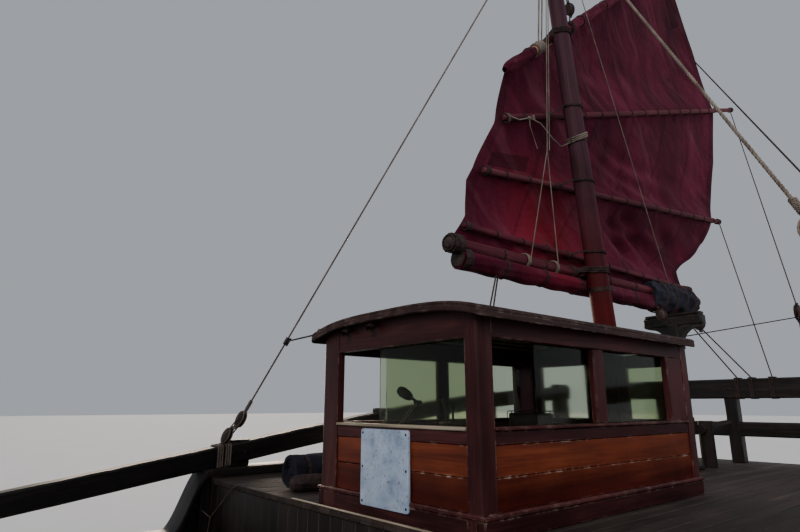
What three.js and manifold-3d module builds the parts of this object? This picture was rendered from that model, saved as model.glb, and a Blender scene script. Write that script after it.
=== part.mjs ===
// A wooden three-masted fishing junk, afloat. Millimetres, +X to the bow, +Y to port, +Z up.
// The origin is amidships on the centreline, in the plane of the waterline.
import * as THREE from 'three';
import { mergeVertices } from 'three/addons/utils/BufferGeometryUtils.js';
import Module from 'manifold-3d';

const wasm = await Module();
wasm.setup();

const gap = 0.3; // between pieces that touch
const runningGap = 0.6; // round pins, parrels and bearings
const far = 40000; // larger than the ship, for cutting blocks

// Decks: the top of each one, and where one ends and the next begins
const deckThickness = 50;
const waistDeckTop = 1000;
const quarterDeckTop = 1755;
const foreDeckTop = 1700;
const breakX = -3600;
const foreBreakX = 5000;
const deckNosing = 40; // how far a raised deck's edge stands out past its step

// Hull sides
const bulwarkThickness = 120;
const capWidth = 340;
const capThickness = 60;
const capOverhang = 40; // how far the cap plank stands out past the bulwark
const capLap = 20; // how far the cap reaches down over the bulwark's top
const transomThickness = 90;
const keelHalfWidth = 150;
const keelTimberHalfWidth = 110;
const sternRake = -0.26;
const bowRake = 0.45;
const rakedEnds = 5500; // the ends beyond this distance lean out

// Hull stations. Each row: x, half beam at the bulwark top, bulwark top, bottom at the centreline,
// fullness (smaller is fuller)
const stations = [
  [-9750, 2330, 2190, 330, 0.85],
  [-8600, 2720, 2100, -60, 0.85],
  [-7200, 3000, 1960, -900, 0.8],
  [-5600, 3180, 1850, -1380, 0.7],
  [-4300, 3260, 1800, -1490, 0.64],
  [-3540, 3286, 1790, -1500, 0.62],
  [-3180, 3296, 1190, -1500, 0.61],
  [-1000, 3300, 1230, -1500, 0.6],
  [1000, 3270, 1230, -1500, 0.62],
  [3000, 3110, 1290, -1450, 0.66],
  [4100, 2920, 1400, -1370, 0.71],
  [4850, 2730, 1790, -1280, 0.75],
  [5700, 2450, 2010, -1090, 0.8],
  [7000, 1900, 2200, -620, 0.9],
  [8200, 1290, 2420, 120, 0.95],
  [9150, 780, 2640, 1000, 1.0],
];
const sectionSteps = 9;

// Wheelhouse: a varnished cabin over a sunken floor
const houseFrontX = -3600;
const houseAftX = -6530;
const houseHalfWidth = 882;
const houseWall = 60;
const houseFloor = 1180;
const sillHeight = 2397;
const windowTop = 2950;
const roofEdgeTop = 3118;
const roofCamber = 100;
const roofCamberPower = 3.4; // the roof is flat amidships and falls away at its sides
const camberSteps = 24;
const roofThickness = 45;
const roofOverhang = 78;
const roofSideOverhang = 118;
const roofSeat = 0.9; // the walls' tops lie this far under the roof's curve
const fasciaDepth = 70;
const fasciaThickness = 32;
const paneThickness = 8;
const doorThickness = 40;
const doorGap = 6;
const doorY = [170, 800];
const doorZ = [1800, 3030];
const doorFrame = 110;
const hingeRadius = 14;
const hingeHeight = 100;
const hingeHeights = [2050, 2780];
const hingeX = houseAftX - hingeRadius - 4;
const hingeLeaf = 60;
const frontWindowY = [-650, 765];
const aftWindowY = [-760, -190];
const sideWindows = [[-4907, -3730], [-6100, -5049]];
const sidePaneX = [-6160, -4240];
const frontPaneY = [-176, 790];
const paneLap = 30; // a pane runs this far behind the frame, top and bottom
const wellMargin = 20;
const wellX = [houseAftX + houseWall + wellMargin, houseFrontX - houseWall - wellMargin];
const wellHalfWidth = houseHalfWidth - houseWall - wellMargin;
const signY = [-300, 240];
const signZ = [1830, sillHeight - 35];
const signThickness = 18;

// Steering position
const helmX = -4150;
const helmZ = 2080;
const helmRadius = 330;
const helmRimRadius = 270;
const spokeCount = 8;
const pedestalX = [helmX + 60, helmX + 230];
const pedestalHalfWidth = 150;
const pedestalTop = 2180;
const seatX = [-5300, -4800];
const seatHalfWidth = 270;
const seatZ = [1620, 1660];
const seatBackX = [-5340, -5290];
const seatBackZ = [1560, 2380];
const cushionTop = 1780;
const cushionBackX = -5190;
const cushionBackTop = 2490;

// Rudder, its stock and the propeller ahead of it
const stockX = -8900;
const stockRadius = 90;
const trunkRadius = 112;
const keelBottom = -1760;
const soleTop = -1660;
const skegEndX = -8060;
const shaftZ = -950;
const shaftRadius = 36;
const propellerX = -8350;
const propellerRadius = 430;
const bladeCount = 4;
const bladePitch = 0.7;
const stockTop = 2330;
const tiller = [[stockX + 170, 2230, 62], [stockX - 780, 2290, 42]]; // each end: x, z, radius

// The rudder blade's edge. Each row: distance aft of the stock, z
const rudderEdge = [[-60, -1600], [-60, -260], [700, -120], [1250, -60], [1420, -200], [1480, -1250],
  [1350, -1600]];
const rudderHalfThickness = 48;
// Diamond holes through the blade: distances aft of the stock, heights, and half a hole's length and height
const rudderHoleColumns = [420, 750, 1080];
const rudderHoleRows = [-1350, -1135, -920, -705, -490];
const rudderHoleHalf = [50, 70];

// A propeller blade's edge. Each row: across the blade, distance from the shaft
const bladeEdge = [[-45, 40], [-125, 190], [-150, 320], [-60, propellerRadius], [70, propellerRadius - 20],
  [140, 300], [110, 170], [45, 40]];
const bladeThickness = 18;

// Windlass on the foredeck
const windlassX = 6150;
const windlassZ = 2130;
const windlassHalfLength = 620;
const axleRadius = 34;
const barrelRadius = 150;
const cheekThickness = 120;
const cheekGap = 15;
const warpingHead = [95, 120]; // inner and outer radius
const warpingHeadLength = 170;

// Hatch in the waist
const hatchX = [-500, 1300];
const hatchHalfWidth = 640;
const coamingHeight = 300;
const coamingThickness = 70;
const lidThickness = 60;
const lidHinges = [-50, 850];
const lidHingeY = hatchHalfWidth + 30;
const lidHingeZ = waistDeckTop + coamingHeight + 30;
const lidKnuckle = 50;

// Masts. Each row: name, foot x, deck height, lean forward per unit of height, top z, foot and top radius
const masts = [
  ['foremast', 7300, foreDeckTop, 0.105, 9600, 140, 90],
  ['mainmast', 2800, waistDeckTop, 0.026, 12800, 190, 115],
  ['mizzenmast', -6840, quarterDeckTop, 0.117, 8950, 128, 85],
];
const mastSides = 16;
const sparSides = 8;
const clothThickness = 12;
const mastClearance = 12;

// Rigs. Each spar row: name, luff x and z, leech x and z, radius. Each edge row: x, z.
const rigs = [
  {
    name: 'fore', mast: 0, parrels: ['boom', 'yard'],
    spars: [
      ['boom', 8750, 3300, 5150, 3330, 62],
      ['batten_1', 8800, 4200, 4960, 4560, 36],
      ['batten_2', 8760, 5080, 4860, 5950, 36],
      ['batten_3', 8640, 5900, 4780, 7420, 36],
      ['yard', 8560, 6640, 5250, 10150, 58],
    ],
    luff: [[8720, 3320], [8770, 4210], [8730, 5090], [8600, 5930], [8540, 6700]],
    leech: [[5290, 10090], [4990, 8600], [4930, 7340], [4930, 5920], [5040, 4540], [5200, 3340]],
  },
  {
    name: 'main', mast: 1, parrels: ['boom', 'yard'],
    spars: [
      ['boom', 4450, 3150, -780, 3230, 85],
      ['batten_1', 4500, 4150, -900, 4640, 45],
      ['batten_2', 4500, 5150, -1460, 6220, 45],
      ['batten_3', 4400, 6150, -2260, 8130, 45],
      ['batten_4', 4270, 7080, -2830, 10560, 45],
      ['yard', 4200, 7900, -1700, 13900, 80],
    ],
    luff: [[4410, 3170], [4460, 4160], [4460, 5160], [4360, 6170], [4220, 7120], [4170, 7990]],
    leech: [[-1640, 13830], [-2350, 12200], [-2700, 10490], [-2130, 8080], [-1330, 6190], [-820, 4630],
      [-720, 3240]],
  },
  {
    name: 'mizzen', mast: 2, parrels: ['boom', 'yard'],
    spars: [
      ['boom', -4451, 3955, -9617, 4001, 62],
      ['batten_1', -4668, 4172, -9500, 4182, 34],
      ['batten_2', -4982, 4817, -11016, 5567, 36],
      ['batten_3', -5338, 5519, -12498, 8230, 38],
      ['yard', -5451, 6174, -10353, 10434, 58],
    ],
    luff: [[-4500, 3970], [-4760, 4300], [-4787, 4678], [-5235, 5436], [-5490, 6240]],
    leech: [[-10290, 10370], [-11180, 8980], [-11623, 7900], [-11370, 6800], [-10780, 5530], [-10470, 5130],
      [-9880, 4740], [-9300, 4440], [-9280, 4250], [-9500, 4030]],
  },
];

// Shrouds. Each row: name, top x and z, foot x, y and z
const shrouds = [
  ['main_shroud', 3080, 12300, 5250, 2560, 1900],
  ['mizzen_shroud', -6050, 8560, -3730, 3190, 2000],
];
const shroudRadius = 22;

// Quarter rail: the heavy timber above the bulwark. Each row: x, height of its centre
const railPath = [[400, 1402], [-1000, 1560], [-1710, 1660], [-3300, 1905], [-5050, 2190], [-7000, 2500],
  [-8600, 2665], [-9560, 2740]];
const railWidth = 200;
const railHeight = 220;
const stanchions = [-1500, -3900, -6000, -7900, -9450];
const stanchionWidth = 300;

// Stern railing across the quarterdeck
const sternRailX = -9900;
const sternRailHalfLength = 2130;
const sternPosts = [-2000, -1000, 0, 1000, 2000];
const sternBars = [[2620, 2890], [2108, 2302]];

// Mooring bitts, on the foredeck ahead of the foremast
const bittsX = 8350;
const bittsY = 300;
const bittsHeight = 520;
const bittsPost = 160;
const bittsBeamHalfLength = 520;
const bittsBeamZ = [260, 370]; // above the foredeck

// Crutch that the mizzen boom is lowered on: a post with a wide head
const crutchX = -8500;
const crutchY = -70;
const crutchPost = 150;
const crutchTop = 3700;
const crutchNeck = 3330;
const crutchHeadHalfWidth = 380;
const crutchHeadHeight = 200;

// Awning, rolled up on the quarterdeck to starboard of the wheelhouse
const awningX = [-5450, -3820];
const awningY = -1790;
const awningRadius = 165;

// Solids

function manifoldOf(geometry) {
  const bare = geometry.clone();
  bare.deleteAttribute('normal');
  bare.deleteAttribute('uv');
  const merged = mergeVertices(bare, 0.001);
  const mesh = new wasm.Mesh({
    numProp: 3,
    vertProperties: new Float32Array(merged.attributes.position.array),
    triVerts: new Uint32Array(merged.index.array),
  });
  return new wasm.Manifold(mesh);
}

function geometryOf(manifold) {
  const mesh = manifold.getMesh();
  const geometry = new THREE.BufferGeometry();
  geometry.setAttribute('position', new THREE.BufferAttribute(new Float32Array(mesh.vertProperties), 3));
  geometry.setIndex(new THREE.BufferAttribute(new Uint32Array(mesh.triVerts), 1));
  geometry.computeVertexNormals();
  return geometry;
}

function joined(...pieces) {
  return geometryOf(pieces.map(manifoldOf).reduce((whole, piece) => whole.add(piece)));
}

function cut(body, ...tools) {
  return geometryOf(tools.map(manifoldOf).reduce((whole, tool) => whole.subtract(tool), manifoldOf(body)));
}

function common(body, other) {
  return geometryOf(manifoldOf(body).intersect(manifoldOf(other)));
}

function block(x, y, z) {
  const geometry = new THREE.BoxGeometry(x[1] - x[0], y[1] - y[0], z[1] - z[0]);
  return geometry.translate((x[0] + x[1]) / 2, (y[0] + y[1]) / 2, (z[0] + z[1]) / 2);
}

function outline(points, holes = []) {
  const shape = new THREE.Shape(points.map(([a, b]) => new THREE.Vector2(a, b)));
  for (const hole of holes) {
    shape.holes.push(new THREE.Path(hole.map(([a, b]) => new THREE.Vector2(a, b))));
  }
  return shape;
}

const alongY = new THREE.Matrix4().makeBasis(
  new THREE.Vector3(1, 0, 0), new THREE.Vector3(0, 0, 1), new THREE.Vector3(0, -1, 0));
const alongX = new THREE.Matrix4().makeBasis(
  new THREE.Vector3(0, 1, 0), new THREE.Vector3(0, 0, 1), new THREE.Vector3(1, 0, 0));

// An outline in x and z, from side y[0] to side y[1]
function profileXZ(points, y, holes) {
  const depth = y[1] - y[0];
  const geometry = new THREE.ExtrudeGeometry(outline(points, holes), { depth, bevelEnabled: false });
  return geometry.applyMatrix4(alongY).translate(0, y[1], 0);
}

// An outline in y and z, from x[0] to x[1]
function profileYZ(points, x, holes) {
  const depth = x[1] - x[0];
  const geometry = new THREE.ExtrudeGeometry(outline(points, holes), { depth, bevelEnabled: false });
  return geometry.applyMatrix4(alongX).translate(x[0], 0, 0);
}

// The corner radius of a bore round a shaft, and the turn that sets its flats against the shaft's corners
function boreRadius(radius, sides) {
  return (radius + runningGap) / Math.cos(Math.PI / sides);
}

function rectangle(a, b) {
  return [[a[0], b[0]], [a[1], b[0]], [a[1], b[1]], [a[0], b[1]]];
}

// A round bar, tapered from its start to its end, with a flat or a corner towards +Y, or towards +Z
// where the bar itself runs along Y
function bar(from, to, startRadius, endRadius, sides, turn = 0) {
  const start = new THREE.Vector3(...from);
  const end = new THREE.Vector3(...to);
  const direction = end.clone().sub(start);
  const length = direction.length();
  const geometry = new THREE.CylinderGeometry(endRadius, startRadius, length, sides);
  geometry.rotateY(turn);
  const along = direction.normalize();
  const side = Math.abs(along.y) > 0.9 ? new THREE.Vector3(0, 0, 1) : new THREE.Vector3(0, 1, 0);
  side.addScaledVector(along, -side.dot(along)).normalize();
  const third = new THREE.Vector3().crossVectors(along, side);
  const frame = new THREE.Matrix4().makeBasis(third, along, side);
  const middle = start.add(end).multiplyScalar(0.5);
  return geometry.applyMatrix4(frame).translate(middle.x, middle.y, middle.z);
}

// A closed skin over rings of points, all rings with the same count, ends closed by ladders
function loft(rings) {
  const count = rings[0].length;
  const indices = [];
  for (let i = 0; i + 1 < rings.length; i += 1) {
    for (let j = 0; j < count; j += 1) {
      const a = i * count + j;
      const b = i * count + ((j + 1) % count);
      indices.push(a, b, b + count, a, b + count, a + count);
    }
  }
  const last = (rings.length - 1) * count;
  for (let j = 0; 2 * j + 2 < count; j += 1) {
    const [a, b, c, d] = [j, j + 1, count - 2 - j, count - 1 - j];
    indices.push(a, d, b);
    indices.push(last + a, last + b, last + d);
    if (c > b) {
      indices.push(b, d, c);
      indices.push(last + b, last + c, last + d);
    }
  }
  const geometry = new THREE.BufferGeometry();
  geometry.setAttribute('position', new THREE.BufferAttribute(new Float32Array(rings.flat(2)), 3));
  geometry.setIndex(volume(rings.flat(), indices) < 0 ? indices.reverse() : indices);
  return geometry;
}

function volume(points, indices) {
  let sum = 0;
  for (let i = 0; i < indices.length; i += 3) {
    const [a, b, c] = [0, 1, 2].map((corner) => new THREE.Vector3(...points[indices[i + corner]]));
    sum += a.dot(b.cross(c)) / 6;
  }
  return sum;
}

// Hull lines

function between(table, column, x) {
  const rows = [...table].sort((a, b) => a[0] - b[0]);
  const clamped = Math.min(Math.max(x, rows[0][0]), rows[rows.length - 1][0]);
  const next = Math.max(rows.findIndex((row) => row[0] >= clamped), 1);
  const [low, high] = [rows[next - 1], rows[next]];
  const share = (clamped - low[0]) / (high[0] - low[0]);
  return low[column] + share * (high[column] - low[column]);
}

function lean(x, z) {
  const aft = Math.max(-x - rakedEnds, 0) / (9750 - rakedEnds);
  const fore = Math.max(x - rakedEnds, 0) / (9150 - rakedEnds);
  return aft * sternRake * z + fore * bowRake * (z - 1000);
}

// The station whose plank stands at x at height z, at the leaning stern
function upright(x, z) {
  const share = (-sternRake * z) / (9750 - rakedEnds);
  return x < -rakedEnds ? (x - rakedEnds * share) / (1 + share) : x;
}

function hullRing(station, inset, raise) {
  const [x, beam, top, bottom, fullness] = station;
  const half = [];
  for (let step = 0; step <= sectionSteps; step += 1) {
    const angle = (Math.PI / 2) * (1 - step / sectionSteps);
    const spread = Math.sin(angle) ** fullness;
    const y = keelHalfWidth + (beam - inset - keelHalfWidth) * spread;
    const z = bottom + (top + raise - bottom) * (1 - Math.cos(angle));
    half.push([x + lean(x, z), y, z]);
  }
  const other = [...half].reverse().map(([px, py, pz]) => [px, -py, pz]);
  return [...half, ...other];
}

function hullBody(inset, raise, stationList) {
  return loft(stationList.map((station) => hullRing(station, inset, raise)));
}

function shifted(station, dx) {
  return [station[0] + dx, ...station.slice(1)];
}

const fullHull = hullBody(0, 0, stations);

// The space inside the bulwarks: open at the stern, closed at the bow
function insideBulwarks(inset) {
  const list = stations.map((station) => [...station]);
  list[0] = shifted(list[0], -200);
  list[list.length - 1] = shifted(list[list.length - 1], -inset);
  return hullBody(inset, 600, list);
}

const wheelhouseWell = block(wellX, [-wellHalfWidth, wellHalfWidth], [houseFloor, far / 4]);
const rudderTrunk = bar([stockX, 0, -1000], [stockX, 0, 4000], trunkRadius, trunkRadius, 12);

function hull() {
  const under = deckThickness + gap;
  const aboveWaist = block([breakX - gap, foreBreakX + gap], [-far, far], [waistDeckTop - under, far]);
  const aboveQuarter = block([-far, breakX], [-far, far], [quarterDeckTop - under, far]);
  const aboveFore = block([foreBreakX, far], [-far, far], [foreDeckTop - under, far]);
  return cut(fullHull, aboveWaist, aboveQuarter, aboveFore, wheelhouseWell, rudderTrunk);
}

// The bulwark of one side, with its wide cap plank
function capPlank(side, bottomDrop, spare = 0) {
  const rings = stations.map((station) => {
    const [x, beam, top] = station;
    const inner = Math.max(beam + capOverhang - capWidth, 2 * gap) - spare;
    const outer = beam + capOverhang + spare;
    const corners = [[inner, top - bottomDrop], [outer, top - bottomDrop], [outer, top + capThickness],
      [inner, top + capThickness]];
    return corners.map(([y, z]) => [x + lean(x, top), side * y, z]);
  });
  return loft(rings);
}

function bulwark(side) {
  const halfSpace = side > 0 ? [gap, far] : [-far, -gap];
  const wall = cut(fullHull, insideBulwarks(bulwarkThickness));
  const overQuarter = block([-far, breakX + deckNosing], halfSpace, [quarterDeckTop - deckThickness, far]);
  const overWaist = block([breakX, foreBreakX], halfSpace, [waistDeckTop - deckThickness, far]);
  const overFore = block([foreBreakX - deckNosing, far], halfSpace, [foreDeckTop - deckThickness, far]);
  const space = joined(overQuarter, overWaist, overFore);
  return joined(common(wall, space), capPlank(side, capLap));
}

function deck(x, top, ...holes) {
  const slab = block(x, [-far, far], [top - deckThickness, top]);
  const fitted = common(common(slab, fullHull), insideBulwarks(bulwarkThickness + gap));
  return holes.length ? cut(fitted, ...holes) : fitted;
}

function transom() {
  const stern = stations[0];
  const inner = hullRing(shifted(stern, -gap), 0, 0);
  const outer = hullRing(shifted(stern, -transomThickness), 0, 0);
  const board = loft([outer, inner]);
  return cut(board, block([-far, far], [-far, far], [quarterDeckTop, far]));
}

function keel() {
  const top = stations.filter(([x]) => x > skegEndX && x < 7500).map(([x, , , z]) => [x + lean(x, z), z]);
  const skegTop = between(stations, 3, skegEndX);
  const profile = [
    [skegEndX, skegTop],
    ...top,
    [6700, -1300],
    [5900, keelBottom],
    [stockX - 160, keelBottom],
    [stockX - 160, soleTop],
    [skegEndX, soleTop],
  ];
  const timber = profileXZ(profile, [-keelTimberHalfWidth, keelTimberHalfWidth]);
  const bearing = bar([skegEndX - 60, 0, shaftZ], [skegEndX + 400, 0, shaftZ], 108, 108, 12);
  const bore = bar([skegEndX - 100, 0, shaftZ], [skegEndX + 380, 0, shaftZ],
    boreRadius(shaftRadius, 12), boreRadius(shaftRadius, 12), 12, Math.PI / 12);
  return cut(joined(timber, bearing), bore, fullHull.clone().translate(0, 0, -gap));
}

function rudder() {
  const edge = rudderEdge.map(([aft, z]) => [stockX - aft, z]);
  const [halfLength, halfHeight] = rudderHoleHalf;
  const holes = rudderHoleColumns.flatMap((aft) => rudderHoleRows.map((z) => {
    const x = stockX - aft;
    return [[x - halfLength, z], [x, z - halfHeight], [x + halfLength, z], [x, z + halfHeight]];
  }));
  const blade = profileXZ(edge, [-rudderHalfThickness, rudderHalfThickness], holes);
  const stock = bar([stockX, 0, soleTop + 40], [stockX, 0, stockTop], stockRadius, stockRadius, 12);
  const heel = bar([stockX, 0, soleTop + runningGap], [stockX, 0, soleTop + 60], 60, 60, 12);
  const [[innerX, innerZ, innerRadius], [outerX, outerZ, outerRadius]] = tiller;
  const arm = bar([innerX, 0, innerZ], [outerX, 0, outerZ], innerRadius, outerRadius, 8);
  return joined(blade, stock, heel, arm);
}

function propeller() {
  const hub = bar([propellerX - 110, 0, shaftZ], [propellerX + 90, 0, shaftZ], 60, 92, 12);
  const shaft = bar([propellerX + 60, 0, shaftZ], [skegEndX + 360, 0, shaftZ], shaftRadius, shaftRadius, 12);
  const blades = [];
  for (let index = 0; index < bladeCount; index += 1) {
    const options = { depth: bladeThickness, bevelEnabled: false };
    const blade = new THREE.ExtrudeGeometry(outline(bladeEdge), options);
    blade.translate(0, 0, -bladeThickness / 2);
    blade.rotateY(Math.PI / 2 + bladePitch);
    blade.rotateX((index * 2 * Math.PI) / bladeCount - Math.PI / 4);
    blades.push(blade.translate(propellerX - 5, 0, shaftZ));
  }
  return joined(hub, shaft, ...blades);
}

// Rails

function railCentreY(x, z) {
  return between(stations, 1, upright(x, z)) - bulwarkThickness / 2 - 20;
}

function railTimber(side) {
  return loft(railPath.map(([x, z]) => {
    const y = railCentreY(x, z);
    const [halfWidth, halfHeight] = [railWidth / 2, railHeight / 2];
    const corners = rectangle([y - halfWidth, y + halfWidth], [z - halfHeight, z + halfHeight]);
    return corners.map(([py, pz]) => [x, side * py, pz]);
  }));
}

function quarterRail(side) {
  const posts = stanchions.map((x) => {
    const top = between(railPath, 1, x);
    const y = side * railCentreY(x, top);
    return block([x - stanchionWidth / 2, x + stanchionWidth / 2], [y - 75, y + 75], [top - 900, top]);
  });
  const seat = capPlank(side, 1000, 20).translate(0, 0, gap);
  return cut(joined(railTimber(side), ...posts), seat);
}

function sternRail() {
  const posts = sternPosts.map((y) => block([sternRailX - 75, sternRailX + 75], [y - 80, y + 80],
    [quarterDeckTop + gap, sternBars[0][0] + 50]));
  const bars = sternBars.map((z, index) => block(
    [sternRailX - 90 + 30 * index, sternRailX + 90 - 30 * index],
    [-sternRailHalfLength, sternRailHalfLength], z));
  return joined(...posts, ...bars);
}

// Wheelhouse

const roofHalfWidth = houseHalfWidth + roofSideOverhang;

function roofTopAt(y) {
  return roofEdgeTop + roofCamber * (1 - Math.abs(y / roofHalfWidth) ** roofCamberPower);
}

function camber(halfWidth, drop) {
  const points = [];
  for (let step = 0; step <= camberSteps; step += 1) {
    const y = halfWidth - (2 * halfWidth * step) / camberSteps;
    points.push([y, roofTopAt(y) - drop]);
  }
  return points;
}

function wheelhouseRoof() {
  const [aftX, frontX] = [houseAftX - roofOverhang, houseFrontX + roofOverhang];
  const plate = profileYZ([
    ...camber(roofHalfWidth, 0),
    ...camber(roofHalfWidth, roofThickness).reverse(),
  ], [aftX, frontX]);
  const end = (x) => profileYZ([
    ...camber(roofHalfWidth, 0),
    ...camber(roofHalfWidth, fasciaDepth).reverse(),
  ], x);
  const edge = [-1, 1].map((side) => {
    const y = [side * roofHalfWidth, side * (roofHalfWidth - fasciaThickness)].sort((a, b) => a - b);
    return block([aftX, frontX], y, [roofEdgeTop - fasciaDepth, roofEdgeTop - 10]);
  });
  const [aftFascia, frontFascia] = [[aftX, aftX + fasciaThickness], [frontX - fasciaThickness, frontX]];
  const roof = joined(plate, end(aftFascia), end(frontFascia), ...edge);
  const mast = masts[2];
  const room = mast[5] + 18;
  const axis = (z) => [mastAxisAt(mast, z), 0, z];
  return cut(roof, bar(axis(2900), axis(3400), room, room, 12));
}

const wallBottom = quarterDeckTop + gap;
const sideWallTop = roofTopAt(houseHalfWidth) - roofThickness - roofSeat;

function endWall(x, holes) {
  const top = camber(houseHalfWidth, roofThickness + roofSeat);
  const points = [[-houseHalfWidth, wallBottom], [houseHalfWidth, wallBottom], ...top];
  return profileYZ(points, x, holes);
}

function wheelhouseFront() {
  return endWall([houseFrontX - houseWall, houseFrontX], [rectangle(frontWindowY, [sillHeight, windowTop])]);
}

function wheelhouseAft() {
  const wall = endWall([houseAftX, houseAftX + houseWall], [
    rectangle(doorY, doorZ),
    rectangle(aftWindowY, [sillHeight, windowTop]),
  ]);
  const lugs = hingeHeights.flatMap((z) => [-1, 1].map((end) => {
    const low = end < 0 ? z - hingeHeight : z + hingeHeight / 2 + runningGap;
    const high = end < 0 ? z - hingeHeight / 2 - runningGap : z + hingeHeight;
    const pin = bar([hingeX, doorY[1], low], [hingeX, doorY[1], high], hingeRadius, hingeRadius, 12);
    const leaf = block([hingeX, houseAftX + 10], [doorY[1], doorY[1] + 50], [low, high]);
    return joined(pin, leaf);
  }));
  return joined(wall, ...lugs);
}

function wheelhouseDoor() {
  const panel = block([houseAftX, houseAftX + doorThickness], [doorY[0] + doorGap, doorY[1] - doorGap],
    [doorZ[0] + doorGap, doorZ[1] - doorGap]);
  const windowY = [doorY[0] + doorFrame, doorY[1] - doorFrame];
  const window = block([-far, far], windowY, [sillHeight, windowTop - 60]);
  const knuckles = hingeHeights.map((z) => {
    const [low, high] = [z - hingeHeight / 2, z + hingeHeight / 2];
    const pin = bar([hingeX, doorY[1], low], [hingeX, doorY[1], high], hingeRadius, hingeRadius, 12);
    const leaf = block([hingeX, houseAftX + 10], [doorY[1] - hingeLeaf, doorY[1] - doorGap], [low, high]);
    const strap = block([hingeX, houseAftX - 6], [doorY[1] - hingeLeaf, doorY[1]], [low, high]);
    return joined(pin, leaf, strap);
  });
  return joined(cut(panel, window), ...knuckles);
}

function wheelhouseSide(side) {
  const y = [side * houseHalfWidth, side * (houseHalfWidth - houseWall)].sort((a, b) => a - b);
  const span = [houseAftX + houseWall + gap, houseFrontX - houseWall - gap];
  const holes = sideWindows.map((window) => block(window, [-far, far], [sillHeight, windowTop]));
  return cut(block(span, y, [wallBottom, sideWallTop]), ...holes);
}

// A sliding pane runs behind the posts, from mid-bay to the aft end of its track
function sidePane(side) {
  const inner = houseHalfWidth - houseWall - gap;
  const y = [side * inner, side * (inner - paneThickness)].sort((a, b) => a - b);
  return block(sidePaneX, y, [sillHeight - paneLap, windowTop + paneLap]);
}

function frontPane() {
  const x = houseFrontX - houseWall - gap;
  return block([x - paneThickness, x], frontPaneY, [sillHeight - paneLap, windowTop + paneLap]);
}

// Steering position

function helmPedestal() {
  const post = block(pedestalX, [-pedestalHalfWidth, pedestalHalfWidth], [houseFloor + gap, pedestalTop]);
  const boss = bar([helmX + 40, 0, helmZ], [helmX + 70, 0, helmZ], 60, 60, 12);
  return joined(post, boss);
}

function helmWheel() {
  const rim = new THREE.TorusGeometry(helmRimRadius, 26, 8, 24).rotateY(Math.PI / 2);
  rim.translate(helmX, 0, helmZ);
  const hub = bar([helmX - 40, 0, helmZ], [helmX + 40 - runningGap, 0, helmZ], 55, 55, 12);
  const spokes = [];
  for (let index = 0; index < spokeCount; index += 1) {
    const angle = (index * 2 * Math.PI) / spokeCount;
    const tip = [helmX, helmRadius * Math.cos(angle), helmZ + helmRadius * Math.sin(angle)];
    spokes.push(bar([helmX, 0, helmZ], tip, 17, 13, 6));
  }
  return joined(rim, hub, ...spokes);
}

function helmSeat() {
  const stand = block([seatX[0] + 150, seatX[1] - 150], [-110, 110], [houseFloor + gap, seatZ[0] + 20]);
  const frame = block(seatX, [-seatHalfWidth, seatHalfWidth], seatZ);
  const back = block(seatBackX, [-seatHalfWidth + 20, seatHalfWidth - 20], seatBackZ);
  return joined(stand, frame, back);
}

function seatCushion() {
  const rear = seatBackX[1] + gap;
  const half = seatHalfWidth - 15;
  const seat = block([rear, seatX[1] + 10], [-half, half], [seatZ[1] + gap, cushionTop]);
  const back = block([rear, cushionBackX], [5 - half, half - 5], [cushionTop - 30, cushionBackTop]);
  return joined(seat, back);
}

// Hatch, windlass, crutch, deck gear

// A hinge pin along X at the lid's hinge line
function lidPin(span) {
  return bar([span[0], lidHingeY, lidHingeZ], [span[1], lidHingeY, lidHingeZ], hingeRadius, hingeRadius, 12);
}

function hatchCoaming() {
  const outer = rectangle(hatchX, [-hatchHalfWidth, hatchHalfWidth]);
  const inner = rectangle([hatchX[0] + coamingThickness, hatchX[1] - coamingThickness],
    [-hatchHalfWidth + coamingThickness, hatchHalfWidth - coamingThickness]);
  const height = coamingHeight - gap;
  const ring = new THREE.ExtrudeGeometry(outline(outer, [inner]), { depth: height, bevelEnabled: false });
  ring.translate(0, 0, waistDeckTop + gap);
  const [near, past] = [lidKnuckle + runningGap, lidKnuckle + 40];
  const spans = lidHinges.flatMap((x) => [[x - past, x - near], [x + near, x + past]]);
  const lugs = spans.map((span) => joined(lidPin(span),
    block(span, [hatchHalfWidth - 5, lidHingeY + 12], [lidHingeZ - 90, lidHingeZ])));
  return joined(ring, ...lugs);
}

function hatchLid() {
  const bottom = waistDeckTop + coamingHeight + gap;
  const panel = block([hatchX[0] - 20, hatchX[1] + 20], [-hatchHalfWidth - 20, hatchHalfWidth - 10],
    [bottom, bottom + lidThickness]);
  const knuckles = lidHinges.map((x) => {
    const span = [x - lidKnuckle, x + lidKnuckle];
    const leaf = block(span, [hatchHalfWidth - 40, lidHingeY], [lidHingeZ - 8, lidHingeZ + 8]);
    return joined(lidPin(span), leaf);
  });
  return joined(panel, ...knuckles);
}

function windlassPosts() {
  const cheekY = windlassHalfLength + cheekGap + cheekThickness / 2;
  const cheekEdge = [[windlassX - 230, foreDeckTop + gap], [windlassX + 330, foreDeckTop + gap],
    [windlassX + 130, windlassZ + 190], [windlassX - 110, windlassZ + 190]];
  const half = cheekThickness / 2;
  const cheeks = [-cheekY, cheekY].map((y) => profileXZ(cheekEdge, [y - half, y + half]));
  const base = block([windlassX - 200, windlassX + 300], [-cheekY, cheekY],
    [foreDeckTop + gap, foreDeckTop + 70]);
  const corner = boreRadius(axleRadius, 12);
  const [from, to] = [-2 * cheekY, 2 * cheekY].map((y) => [windlassX, y, windlassZ]);
  const bore = bar(from, to, corner, corner, 12);
  return cut(joined(...cheeks, base), bore);
}

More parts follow.
